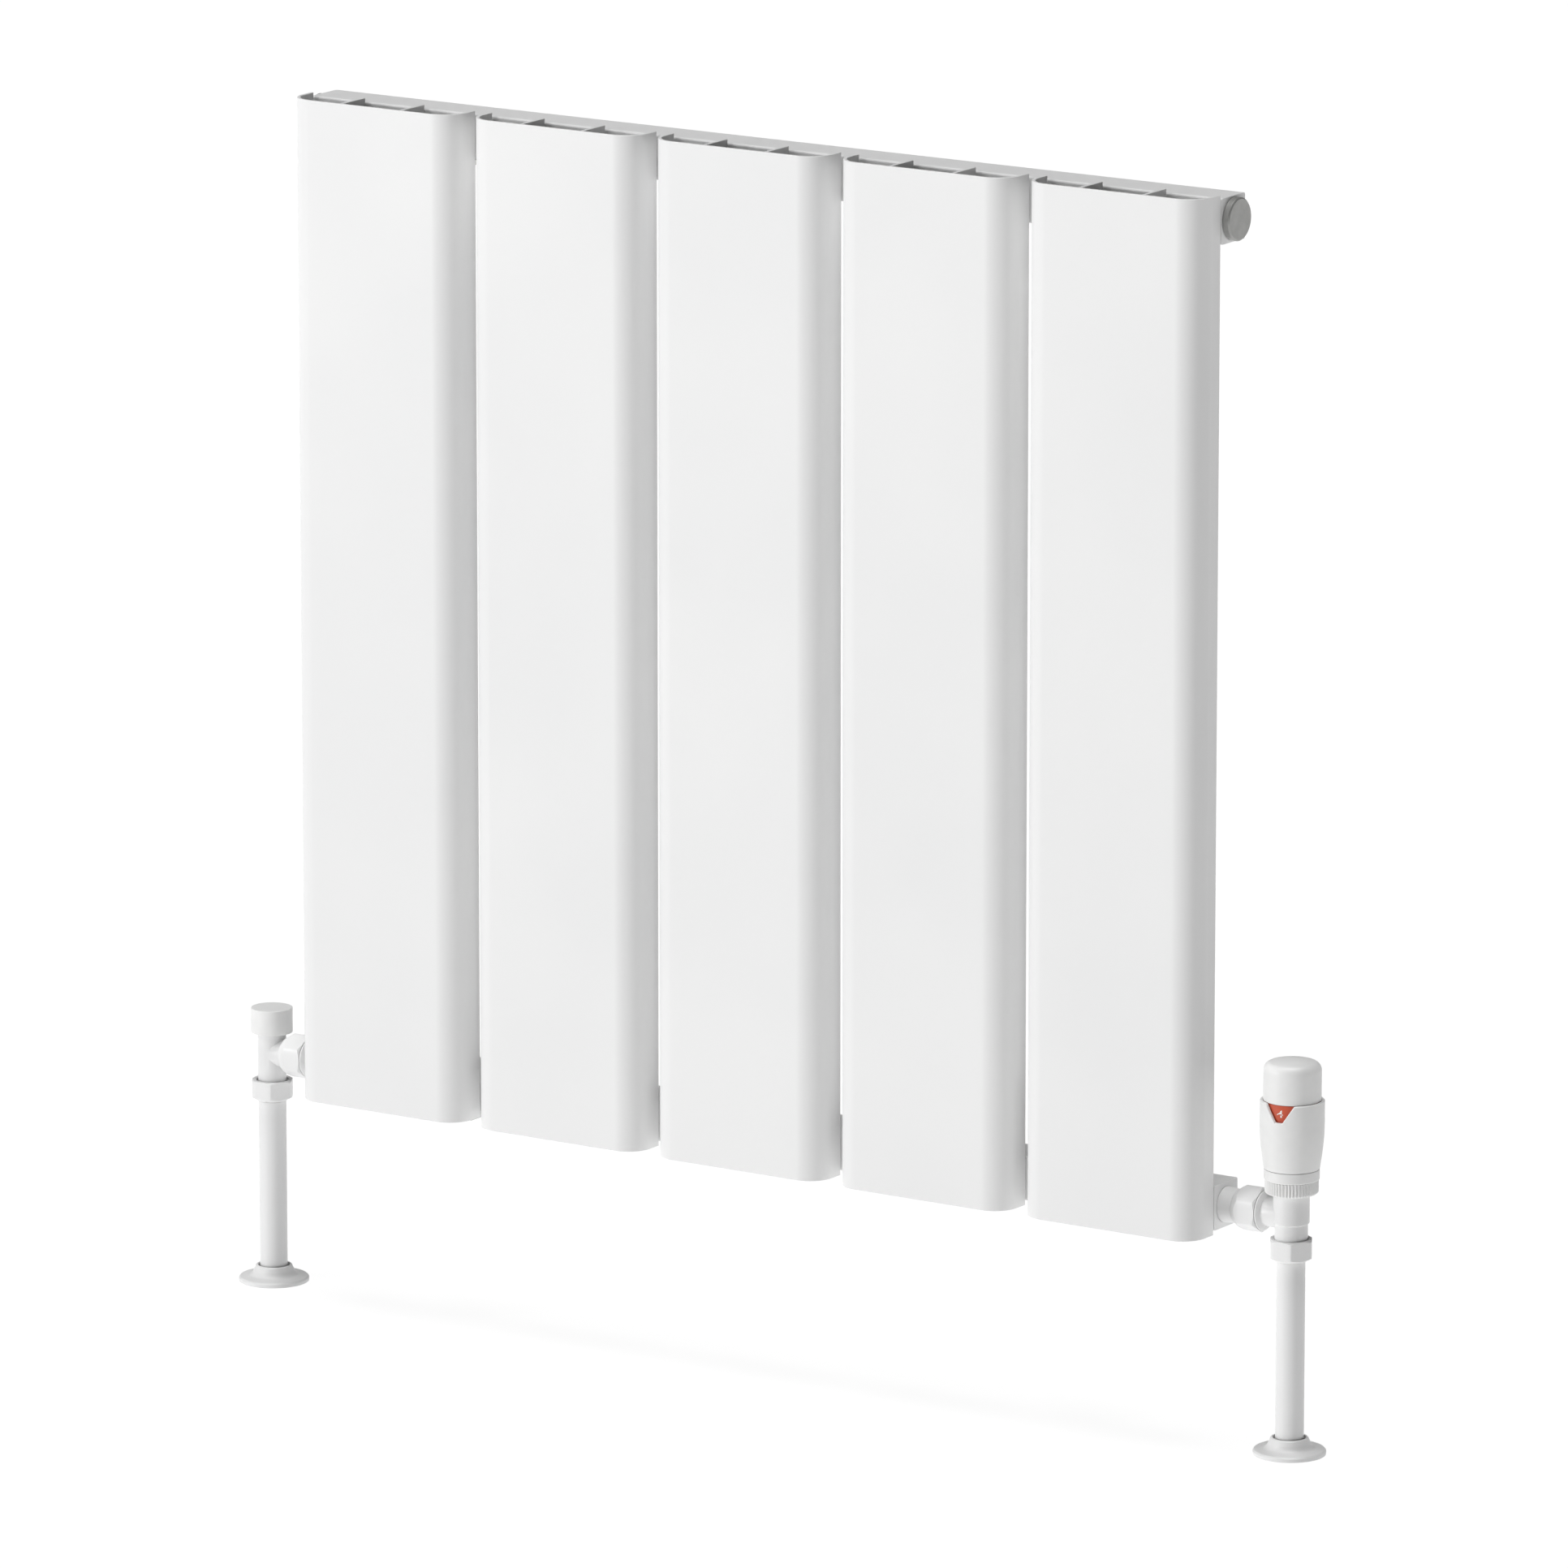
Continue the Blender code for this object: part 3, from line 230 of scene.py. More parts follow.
def make_materials():
    return {
        "panel": powder_coat("panel_powder_coat", 1.0),
        "header": powder_coat("header_powder_coat", 0.985),
        "fitting": powder_coat("fitting_powder_coat", 0.99),
        "nickel": machined(
            "satin_nickel", (0.41, 0.41, 0.40), (0.36, 0.36, 0.35), (0.36, 0.48), (1, 1, 1), metallic=0.5
        ),
        "plastic": moulded("white_moulding", (0.875, 0.875, 0.868), (0.850, 0.851, 0.846)),
        "red": moulded("red_drum_moulding", (0.60, 0.085, 0.030), (0.53, 0.070, 0.026), (0.30, 0.42)),
        "digit": moulded("white_dial_print", (0.88, 0.87, 0.85), (0.82, 0.81, 0.79)),
        "nylon": moulded("grey_nylon", (0.28, 0.28, 0.29), (0.33, 0.33, 0.34), (0.5, 0.66)),
        "brass": machined("machined_brass", (0.76, 0.54, 0.25), (0.62, 0.42, 0.18), (0.22, 0.36)),
        "copper": machined(
            "drawn_copper", (0.80, 0.44, 0.30), (0.62, 0.31, 0.20), (0.24, 0.40), (1, 1, 0.03)
        ),
        "steel": machined("turned_steel", (0.62, 0.62, 0.61), (0.54, 0.54, 0.53), (0.24, 0.38)),
        "zinc": zinc_plate("zinc_plated_sheet"),
        "rubber": soft_black("sealing_rubber"),
    }


MATERIALS = make_materials()


# ---------------------------------------------------------------- modelling helpers
def make_piece(name, mesh, finish, slot, body, *nodes, place=None, crease=32):
    """Adds the mesh as a piece that rides on the body and stands for the CAD nodes."""
    if place:
        mesh.transform(place)
    mesh.materials.append(MATERIALS[finish])
    mesh.shade_smooth()
    mesh.set_sharp_from_angle(angle=math.radians(crease))
    piece = bpy.data.objects.new(name, mesh)
    bpy.context.scene.collection.objects.link(piece)
    even = piece.modifiers.new("even shading", "WEIGHTED_NORMAL")
    even.keep_sharp = True
    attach(piece, body)
    if nodes:
        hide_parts(*nodes)
    return piece


def soft_edges(mesh, width, segments=3, angle=40):
    """The mesh with a Bevel modifier applied to its sharp edges."""
    helper = bpy.data.objects.new("edge_helper", mesh)
    bpy.context.scene.collection.objects.link(helper)
    bevel = helper.modifiers.new("edges", "BEVEL")
    bevel.width = width
    bevel.segments = segments
    bevel.limit_method = "ANGLE"
    bevel.angle_limit = math.radians(angle)
    return applied(helper)


def applied(helper):
    """The object's mesh with its modifiers applied. The object goes."""
    graph = bpy.context.evaluated_depsgraph_get()
    mesh = bpy.data.meshes.new_from_object(helper.evaluated_get(graph))
    bpy.data.objects.remove(helper)
    return mesh


def mesh_from(name, points, faces):
    mesh = bpy.data.meshes.new(name)
    mesh.from_pydata(points, [], faces)
    shape = bmesh.new()
    shape.from_mesh(mesh)
    bmesh.ops.recalc_face_normals(shape, faces=shape.faces)
    shape.to_mesh(mesh)
    shape.free()
    return mesh


def rounded(outline, radius, steps=4):
    """The closed outline with rounded corners, as far as their sides leave room. Points on the axis stay."""
    made = []
    for i, corner in enumerate(outline):
        here = Vector(corner)
        back = Vector(outline[i - 1]) - here
        on = Vector(outline[(i + 1) % len(outline)]) - here
        if corner[0] == 0:
            made += [tuple(here)] * (steps + 1)
            continue
        turn = back.angle(on)
        most = 0.45 * min(back.length, on.length)
        cut = min(radius / max(math.tan(turn / 2), 1e-6), most)
        start, end = here + back.normalized() * cut, here + on.normalized() * cut
        for k in range(steps + 1):
            t = k / steps
            made.append(tuple(start * (1 - t) ** 2 + here * 2 * t * (1 - t) + end * t * t))
    return made


def turned(profile, angles=FINE):
    """A closed surface round +Z. profile is an outline of (radius, height), or gives one for each angle."""
    turns = angles
    if isinstance(angles, int):
        turns = [2 * math.pi * i / angles for i in range(angles)]
    outlines = [profile(turn) if callable(profile) else profile for turn in turns]
    count = len(outlines[0])
    points, index = [], {}
    for k in range(count):
        pole = all(outline[k][0] == 0 for outline in outlines)
        for i, (turn, outline) in enumerate(zip(turns, outlines)):
            if not (pole and i):
                radius, height = outline[k]
                points.append((radius * math.cos(turn), radius * math.sin(turn), height))
            index[i, k] = len(points) - 1
    faces = []
    for i in range(len(turns)):
        j = (i + 1) % len(turns)
        for k in range(count):
            following = (k + 1) % count
            around = [index[i, k], index[j, k], index[j, following], index[i, following]]
            corners = dict.fromkeys(around)
            if len(corners) > 2:
                faces.append(list(corners))
    return without_doubles(mesh_from("turned", points, faces))


def without_doubles(mesh):
    """The mesh with points in the same place made one, and no face without area."""
    shape = bmesh.new()
    shape.from_mesh(mesh)
    bmesh.ops.remove_doubles(shape, verts=shape.verts, dist=1e-7)
    bmesh.ops.dissolve_degenerate(shape, edges=shape.edges, dist=1e-8)
    bmesh.ops.recalc_face_normals(shape, faces=shape.faces)
    shape.to_mesh(mesh)
    shape.free()
    return mesh


def ring(inner, outer, bottom, top):
    return [(inner, bottom), (outer, bottom), (outer, top), (inner, top)]


def rod(radius, bottom, top):
    return [(0, bottom), (radius, bottom), (radius, top), (0, top)]


def arc(centre, radius, start, end, steps):
    turns = [math.radians(start + (end - start) * i / steps) for i in range(steps + 1)]
    return [(centre[0] + radius * math.cos(a), centre[1] + radius * math.sin(a)) for a in turns]


def cells_mesh(name, points, quads, levels):
    """Stacked layers of a section. quads are (corner numbers, their layers), and inner walls are left out."""
    seen = {}
    for corners, layers in quads:
        for layer in layers:
            bottom, top = [(c, layer) for c in corners], [(c, layer + 1) for c in corners]
            sides = [[bottom[i], bottom[i - 1], top[i - 1], top[i]] for i in range(len(corners))]
            for face in [bottom, top, *sides]:
                seen.setdefault(frozenset(face), []).append(face)
    outer = [faces[0] for faces in seen.values() if len(faces) == 1]
    used = sorted({corner for face in outer for corner in face})
    number = {corner: i for i, corner in enumerate(used)}
    places = [(*points[c], levels[layer]) for c, layer in used]
    return mesh_from(name, places, [[number[c] for c in face] for face in outer])


def square(half):
    return [(half, half), (-half, half), (-half, -half), (half, -half)]


def prism(outline, start, end, along="X"):
    """The outline of (y, z) points drawn out along X, or of (x, y) points drawn out along Z."""
    count = len(outline)
    if along == "X":
        points = [(x, a, b) for x in (start, end) for a, b in outline]
    else:
        points = [(a, b, z) for z in (start, end) for a, b in outline]
    faces = [list(range(count)), list(range(count, 2 * count))]
    faces += [[i, (i + 1) % count, (i + 1) % count + count, i + count] for i in range(count)]
    return mesh_from("prism", points, faces)


def cut_from(mesh, *cutters, operation="DIFFERENCE"):
    """The mesh after exact Booleans with the cutter meshes."""
    target = bpy.data.objects.new("cut_target", mesh)
    bpy.context.scene.collection.objects.link(target)
    helpers = []
    for cutter in cutters:
        helper = bpy.data.objects.new("cut_helper", cutter)
        bpy.context.scene.collection.objects.link(helper)
        step = target.modifiers.new("cut", "BOOLEAN")
        step.operation = operation
        step.object = helper
        helpers.append(helper)
    made = applied(target)
    for helper in helpers:
        bpy.data.objects.remove(helper)
    return made


# ---------------------------------------------------------------- radiator
PANEL_WALL = 2.0 * mm
PANEL_CORNER = 15 * mm
PANEL_RETURN = 24.2 * mm       # depth of the side returns
WEB = (19.8 * mm, 22 * mm)     # from the panel's middle to a web's two faces
CORNER_STEPS = 20
CHANNEL_FRONT = 27 * mm        # from the panel's front to the water channel
CHANNEL_WALL = 2.2 * mm
PORT_RADIUS = 10.5 * mm        # of the hole in each end of a header
PORT_THREAD = 10.2 * mm        # radius of what is screwed into it
PORT_DEPTH = 8 * mm


def panel_mesh(node):
    """Front wall with its returns, two webs, and the water channel between the headers."""
    near, far = low(node), high(node)
    centre, half = (near.x + far.x) / 2, (far.x - near.x) / 2
    levels = [near.z, high("bottom_header").z + GAP, low("top_header").z - GAP, far.z]
    every, inner_only = (0, 1, 2), (1,)
    points, quads = [], []

    def point(x, depth):
        points.append((centre + x, near.y + depth))
        return len(points) - 1

    flat = half - PANEL_CORNER
    outer = [(half, PANEL_RETURN)] + arc((flat, PANEL_CORNER), PANEL_CORNER, 0, -90, CORNER_STEPS)
    inner = [(half - PANEL_WALL, PANEL_RETURN)]
    inner += arc((flat, PANEL_CORNER), PANEL_CORNER - PANEL_WALL, 0, -90, CORNER_STEPS)
    for face in (outer, inner):
        front = face[-1][1]
        face += [(WEB[1], front), (WEB[0], front)]
        face += [(-x, y) for x, y in reversed(face)]
    outside, inside = [point(*p) for p in outer], [point(*p) for p in inner]
    for i in range(len(outside) - 1):
        quads.append(([outside[i], outside[i + 1], inside[i + 1], inside[i]], every))

    depth = far.y - near.y
    header_front = low("top_header").y - near.y - GAP
    stations = (header_front, CHANNEL_FRONT, CHANNEL_FRONT + CHANNEL_WALL, depth - CHANNEL_WALL, depth)
    root = CORNER_STEPS + 2
    roots = (
        (inside[root], inside[root + 1], 1),
        (inside[-root - 1], inside[-root - 2], -1),
    )
    ladders = []
    for web_outer, web_inner, side in roots:
        last, layers, inner_corners = (web_outer, web_inner), every, []
        for station in stations:
            pair = (point(side * WEB[1], station), point(side * WEB[0], station))
            quads.append(([*last, pair[1], pair[0]], layers))
            last, layers = pair, inner_only
            inner_corners.append(pair[1])
        ladders.append(inner_corners[1:])
    right, left = ladders
    for k in (0, 2):
        quads.append(([right[k], left[k], left[k + 1], right[k + 1]], inner_only))
    return soft_edges(cells_mesh(node, points, quads, levels), 0.3 * mm, 2)


def make_panels():
    for number in range(1, 6):
        node = f"panel_{number}"
        mesh = panel_mesh(node)
        make_piece(node + "_extrusion", mesh, "panel", "aluminium_coat", "radiator", node, crease=50)


def make_headers():
    for node in ("top_header", "bottom_header"):
        near, far = low(node), high(node)
        outline = [(near.y, near.z), (far.y, near.z), (far.y, far.z), (near.y, far.z)]
        mesh = soft_edges(prism(rounded(outline, 1.6 * mm, 5), near.x, far.x), 0.35 * mm, 2)
        ports = []
        for end, towards in ((far.x, 1), (near.x, -1)):
            port = turned(rod(PORT_RADIUS, -PORT_DEPTH, mm))
            port.transform(sideways(end, middle(node), towards))
            ports.append(port)
        mesh = cut_from(mesh, *ports)
        make_piece(node + "_tube", mesh, "header", "aluminium_coat", "radiator", node, crease=40)


def weld_mesh(centre_x, y_range, z):
    """A rippled bead round the joint between a water channel and a header."""
    half, corner, bead, ripple = WEB[1], 2 * mm, 1.0 * mm, 0.7 * mm
    y0, y1 = y_range
    path = []
    for x, y, start in ((half, y1, 0), (-half, y1, 90), (-half, y0, 180), (half, y0, 270)):
        middle_x, middle_y = x - math.copysign(corner, x), y - corner if y == y1 else y + corner
        path += arc((middle_x, middle_y), corner, start, start + 90, 5)
    route = []
    for i, start in enumerate(path):
        end = path[(i + 1) % len(path)]
        length = math.dist(start, end)
        steps = max(1, round(length / ripple))
        for k in range(steps):
            route.append([a + (b - a) * k / steps for a, b in zip(start, end)])
    points, faces, sides = [], [], 8
    for i, (x, y) in enumerate(route):
        following = route[(i + 1) % len(route)]
        along = math.atan2(following[1] - route[i - 1][1], following[0] - route[i - 1][0])
        size = bead * (1 + 0.13 * math.sin(i * 1.7))
        for k in range(sides):
            around = 2 * math.pi * k / sides
            out, up = size * math.cos(around), size * math.sin(around)
            points.append((centre_x + x + out * math.sin(along), y - out * math.cos(along), z + up))
    for i in range(len(route)):
        j = (i + 1) % len(route)
        for k in range(sides):
            m = (k + 1) % sides
            faces.append([i * sides + k, j * sides + k, j * sides + m, i * sides + m])
    return mesh_from("weld", points, faces)


def make_welds():
    for number in range(1, 6):
        node = f"panel_{number}"
        y_range = (low(node).y + CHANNEL_FRONT, high(node).y - 0.6 * mm)
        for level, z in (("lower", high("bottom_header").z), ("upper", low("top_header").z)):
            mesh = weld_mesh(middle(node).x, y_range, z)
            make_piece(f"{level}_weld_{number}", mesh, "header", "aluminium_coat", "radiator")


# ---------------------------------------------------------------- plugs of the top header
BLEED = 2.2 * mm               # radius of the bleed screw


def plug_profile(proud, bored):
    """A flange whose skirt hides the washer, and a threaded end. A bored one has a conical seat."""
    radius, skirt, seat, bevel = 12.4 * mm, 11.7 * mm, 1.6 * mm, 0.8 * mm
    core, bore, drain = PORT_THREAD - 3 * mm, BLEED + 0.1 * mm, mm
    outline = [
        (radius - bevel, proud),
        (radius, proud - bevel),
        (radius, GAP),
        (skirt, GAP),
        (skirt, seat),
        (PORT_THREAD - mm, seat),
        (PORT_THREAD - mm, 0),
        (PORT_THREAD, -mm),
        (PORT_THREAD, -PORT_DEPTH),
    ]
    if bored:
        inside = [(drain, -PORT_DEPTH), (drain, -6.3 * mm), (bore, -5 * mm)]
        outline = [(bore, proud)] + outline + inside
    else:
        outline = [(0, proud)] + outline + [(core, -PORT_DEPTH), (core, 0), (0, 0)]
    return rounded(outline, 0.25 * mm)


def make_plugs():
    proud = high("blanking_plug").x - HEADER_END
    ends = (
        ("blanking_plug", sideways(HEADER_END, middle("blanking_plug")), False),
        ("vent_plug", sideways(-HEADER_END, middle("vent_plug"), -1), True),
    )
    for node, place, bored in ends:
        mesh = turned(plug_profile(proud, bored), FINER)
        make_piece(node + "_turned", mesh, "nickel", "satin_nickel", "radiator", node, place=place)
        seal = turned(rounded(ring(PORT_THREAD - 0.6 * mm, 11.4 * mm, GAP, 1.3 * mm), 0.4 * mm))
        make_piece(node + "_washer", seal, "rubber", "rubber", "radiator", node + "_seal", place=place)
    place = sideways(-HEADER_END, middle("vent_plug"), -1)
    key_start, key_end = proud + GAP, proud + 5 * mm
    key = soft_edges(prism(square(2.5 * mm), key_start, key_end, "Z"), 0.35 * mm)
    stem = rod(BLEED, -4.5 * mm, key_start + 0.5 * mm)
    stem = [(0, -5.9 * mm), (BLEED - 1.4 * mm, -5.9 * mm)] + stem[1:]
    screw = cut_from(turned(rounded(stem, 0.15 * mm), 48), key, operation="UNION")
    make_piece("bleed_screw_turned", screw, "brass", "brass", "bleed_screw", "bleed_screw", place=place)


# ---------------------------------------------------------------- wall brackets
def make_bracket(node, x):
    """Folded sheet with rounded bends and two screw holes, and its nylon liner."""
    near, far = low(node), high(node)
    sheet, lip = 3 * mm, 2 * mm
    lining = low(node + "_liner"), high(node + "_liner")
    arm_top = lining[0].z - GAP
    lip_top = lining[1].z
    outline = [(0, near.z), (0, far.z), (-sheet, far.z)]
    outline += [(-sheet, arm_top)] if far.z > arm_top + mm else []
    outline += [(near.y + lip, arm_top), (near.y + lip, lip_top)]
    outline += [(near.y, lip_top), (near.y, arm_top - sheet)]
    hangs_down = near.z < arm_top - sheet - mm
    if hangs_down:
        outline += [(-sheet, arm_top - sheet), (-sheet, near.z)]
    mesh = prism(rounded(outline, 1.2 * mm, 5), near.x, far.x)
    mesh = soft_edges(mesh, 0.25 * mm, 2, 50)
    if hangs_down:
        heights = ((near.z + arm_top - sheet) / 2, (far.z + arm_top) / 2)
    else:
        span = far.z - arm_top
        heights = (arm_top + span / 4, arm_top + span * 3 / 4)
    holes = []
    for z in heights:
        hole = turned(rod(3.2 * mm, -mm, 4 * mm), 48)
        hole.transform(Matrix.Translation((x, 0, z)) @ Matrix.Rotation(math.pi / 2, 4, "X"))
        holes.append(hole)
    mesh = cut_from(mesh, *holes)
    make_piece(node + "_folded", mesh, "zinc", "steel", "radiator", node, crease=40)

    near, far = lining
    wall = 1.2 * mm
    shelf = near.z + wall
    outline = [
        (far.y, near.z),
        (far.y, shelf),
        (near.y + wall, shelf),
        (near.y + wall, far.z),
        (near.y, far.z),
        (near.y, near.z),
    ]
    mesh = soft_edges(prism(rounded(outline, 0.5 * mm), near.x, far.x), 0.2 * mm, 2, 50)
    make_piece(node + "_clip", mesh, "nylon", "grey_nylon", "radiator", node + "_liner")


def make_brackets():
    for level in ("upper", "lower"):
        for side in ("left", "right"):
            node = f"{level}_bracket_{side}"
            make_bracket(node, middle(node).x)


# ---------------------------------------------------------------- pieces that both valves have
def hex_turns(per_side=14):
    """Angles round a hexagon, closer together near its corners."""
    turns = []
    for side in range(6):
        for k in range(per_side * 2):
            t = k / (per_side * 2)
            share = 0.5 - 0.5 * math.cos(math.pi * t)
            turns.append(math.radians(60 * (side + share)))
    return turns


def hex_radius(flats, turn):
    """Distance to a hexagon's side at that angle, with its corners eased."""
    away = math.degrees(turn) % 60 - 30
    straight = flats / 2 / math.cos(math.radians(away))
    corner = flats / math.sqrt(3) - 0.35 * mm
    sharpness = 26
    return (straight ** -sharpness + corner ** -sharpness) ** (-1 / sharpness)


def union_nut(node, start, step, end, small_end, bore, place):
    """Hexagon with a long cone at its small end and a chamfer at its open end."""
    flats, cavity = 24 * mm, 10.4 * mm
    full = flats / math.sqrt(3)
    cone, chamfer, drop = 6.1 * mm, 1.6 * mm, 1.9 * mm

    def profile(turn):
        reach = hex_radius(flats, turn)
        cone_end = start + cone * (reach - small_end) / (full - small_end)
        chamfer_start = end - chamfer * (reach - (full - drop)) / drop
        outline = [
            (bore, start),
            (small_end, start),
            (reach, cone_end),
            (reach, chamfer_start),
            (full - drop, end),
            (cavity, end),
            (cavity, step),
            (bore, step),
        ]
        return rounded(outline, 0.35 * mm, 3)

    mesh = turned(profile, hex_turns())
    name = node + "_machined"
    make_piece(name, mesh, "fitting", "fitting_coat", "radiator", node, place=place, crease=28)


def compression_nut(node, nut_top, place):
    """Hexagon with a collar below, and a lip at its top that closes in on the valve's neck."""
    flats = 23.7 * mm
    full = flats / math.sqrt(3)
    collar_low = low(node).z
    bottom, top = collar_low + 1.6 * mm, nut_top
    pipe_hole, cavity, collar, lip = 7.8 * mm, 10.2 * mm, 9.1 * mm, 9.75 * mm
    shoulder = bottom + 2.4 * mm
    lower_drop, upper_drop = 2.1 * mm, 1.9 * mm

    def profile(turn):
        reach = hex_radius(flats, turn)
        lower = bottom + 1.3 * mm * (reach - (full - lower_drop)) / lower_drop
        upper = top - 1.1 * mm * (reach - (full - upper_drop)) / upper_drop
        outline = [
            (pipe_hole, collar_low),
            (collar, collar_low),
            (collar, bottom),
            (full - lower_drop, bottom),
            (reach, lower),
            (reach, upper),
            (full - upper_drop, top),
            (lip, top),
            (lip, top - 1.2 * mm),
            (cavity, top - 1.2 * mm),
            (cavity, shoulder),
            (pipe_hole, shoulder),
        ]
        return rounded(outline, 0.3 * mm, 3)

    mesh = turned(profile, hex_turns())
    name = node + "_machined"
    make_piece(name, mesh, "fitting", "fitting_coat", "radiator", node, place=place, crease=28)


def rosette_profile(top):
    """Flat flange that sweeps up to a collar, with a recess round the pipe."""
    bore, recess, collar, flange = 8.45 * mm, 9.5 * mm, 10.9 * mm, 21 * mm
    start = Vector((15.4 * mm, 3.6 * mm))
    pull = Vector((12.7 * mm, 4.0 * mm))
    end = Vector((12 * mm, 6.8 * mm))
    shares = [i / 10 for i in range(11)]
    sweep = [tuple(start * (1 - t) ** 2 + pull * 2 * t * (1 - t) + end * t * t) for t in shares]
    outline = [(bore, 0), (flange, 0), (flange, 2.0 * mm), (flange - 0.9 * mm, 2.9 * mm)] + sweep
    outline += [(collar, top - 0.5 * mm), (collar - 0.6 * mm, top)]
    outline += [(recess, top), (recess, 6 * mm), (bore, 5.2 * mm)]
    return rounded(outline, 0.35 * mm, 3)


def make_foot(valve, nut_top, place):
    """Compression nut, pipe sleeve and rosette of either valve."""
    compression_nut(valve + "_compression_nut", nut_top, place)
    sleeve = valve + "_pipe_sleeve"
    mesh = turned(rounded(ring(7.75 * mm, 8.2 * mm, low(sleeve).z, high(sleeve).z), 0.12 * mm, 2))
    make_piece(sleeve + "_tube", mesh, "fitting", "white_plastic", "radiator", sleeve, place=place)
    node = valve + "_rosette"
    mesh = turned(rosette_profile(high(node).z), FINER)
    make_piece(node + "_cover", mesh, "fitting", "fitting_coat", node, node, place=place)


def cast_body(main, branch, place, branch_place):
    """Two turned solids joined, at a fineness that keeps their edges."""
    arm = turned(branch, FINER)
    arm.transform(branch_place)
    trunk = turned(main, FINER)
    trunk.transform(place)
    return cut_from(trunk, arm, operation="UNION")


# ---------------------------------------------------------------- thermostatic valve
KNURLS = 50
SLEEVE_FOOT = 16.0 * mm        # radius of the sleeve at its lower end
SLEEVE_FLARE = 2.5 * mm        # what it gains on its way up
SLEEVE_RISE = 26 * mm          # height over which it gains that
WINDOW_TURN = -84.5            # direction that the reading window faces, in degrees from +X
DIGIT_STEP = 55                # degrees between two numbers of the drum
DIGIT_HEIGHT = 4.2 * mm
DIGIT_DROP = 5 * mm            # from the drum's top to the numbers' middle
DIGIT_WIDEN = 1.3              # stretch of the numbers round the drum
FONT_SHARE = 0.72              # height of a numeral as a share of the font's size


def make_trv():
    place = upright(TRV)
    branch_place = sideways(HEADER_END, TRV_BRANCH)
    make_foot("trv", high("trv_compression_nut").z, place)
    union_nut(
        "trv_union_nut",
        start=8.7 * mm,
        step=16.8 * mm,
        end=25.2 * mm,
        small_end=10 * mm,
        bore=8.3 * mm,
        place=branch_place,
    )
    tail = [
        (6 * mm, -PORT_DEPTH),
        (PORT_THREAD, -PORT_DEPTH),
        (PORT_THREAD, GAP),
        (10.5 * mm, GAP),
        (9.7 * mm, 8.4 * mm),
        (8 * mm, 8.4 * mm),
        (8 * mm, 17.2 * mm),
        (9.9 * mm, 17.2 * mm),
        (9.9 * mm, 19 * mm),
        (6 * mm, 19 * mm),
    ]
    mesh = turned(rounded(tail, 0.3 * mm), FINE)
    node = "trv_tail"
    make_piece(node + "_turned", mesh, "fitting", "fitting_coat", "radiator", node, place=branch_place)
    make_trv_body(place, branch_place)
    make_trv_head(place)


def make_trv_body(place, branch_place):
    node = "trv_valve_body"
    bottom, top = low(node).z, high(node).z
    nut_top, knurl = high("trv_compression_nut").z, low("trv_knurled_nut").z
    step = 136.0 * mm
    neck, upper, thread = 9.5 * mm, 10.4 * mm, 9.8 * mm
    outline = [
        (0, bottom),
        (thread, bottom),
        (thread, nut_top - 2.2 * mm),
        (neck, nut_top - 1.8 * mm),
        (neck, step - 0.4 * mm),
        (upper, step),
        (upper, knurl + 0.6 * mm),
        (12 * mm, knurl + 0.6 * mm),
        (12 * mm, knurl + 2.6 * mm),
        (7.3 * mm, top),
        (7.3 * mm, top - 11 * mm),
        (0, top - 11 * mm),
    ]
    end = high("trv_union_nut").x - HEADER_END
    branch = [
        (0, 19.3 * mm),
        (10.1 * mm, 19.3 * mm),
        (10.1 * mm, end),
        (11.6 * mm, end + 0.3 * mm),
        (11.6 * mm, end + mm),
        (8.8 * mm, end + 2.6 * mm),
        (8.8 * mm, TRV.x - HEADER_END),
        (0, TRV.x - HEADER_END),
    ]
    mesh = cast_body(rounded(outline, 0.3 * mm), rounded(branch, 0.3 * mm), place, branch_place)
    make_piece(node + "_cast", mesh, "fitting", "fitting_coat", "radiator", node, crease=30)


def make_trv_head(place):
    """The fixed pieces under the sleeve, and then the sleeve, the number drum and the handwheel."""
    node = "trv_knurled_nut"
    skirt = 2.2 * mm
    bottom, top = low(node).z - skirt, high(node).z
    outer, flute_depth = 15.4 * mm, 0.9 * mm

    def flutes(turn):
        wave = 0.5 - 0.5 * math.cos(KNURLS * turn)
        reach = outer - flute_depth * wave
        outline = [
            (12.3 * mm, bottom),
            (14.4 * mm, bottom),
            (reach, bottom + 0.9 * mm),
            (reach, top),
            (11.3 * mm, top),
            (11.3 * mm, top - 1.3 * mm),
            (12.3 * mm, top - 1.3 * mm),
        ]
        return rounded(outline, 0.25 * mm, 3)

    mesh = turned(flutes, KNURLS * 10)
    make_piece(node + "_ring", mesh, "plastic", "white_plastic", "radiator", node, place=place)

    node = "trv_head_base"
    knurl_top = top + GAP
    base_top = low("trv_outer_sleeve").z - GAP
    guide_top = high(node).z
    outline = [
        (9.4 * mm, knurl_top + 3 * mm),
        (7.4 * mm, knurl_top + 3 * mm),
        (7.4 * mm, knurl_top - 2.8 * mm),
        (12 * mm, knurl_top - 2.8 * mm),
        (12 * mm, knurl_top - 1.9 * mm),
        (11 * mm, knurl_top - 1.9 * mm),
        (11 * mm, knurl_top),
        (15.5 * mm, knurl_top),
        (15.9 * mm, knurl_top + 0.5 * mm),
        (15.9 * mm, base_top),
        (11.6 * mm, base_top),
        (11.6 * mm, guide_top),
        (9.4 * mm, guide_top),
    ]
    mesh = turned(rounded(outline, 0.22 * mm), FINER)
    make_piece(node + "_ring", mesh, "plastic", "white_plastic", "radiator", node, place=place)
    make_sleeve(place)
    make_drum(place)
    make_handwheel(place)


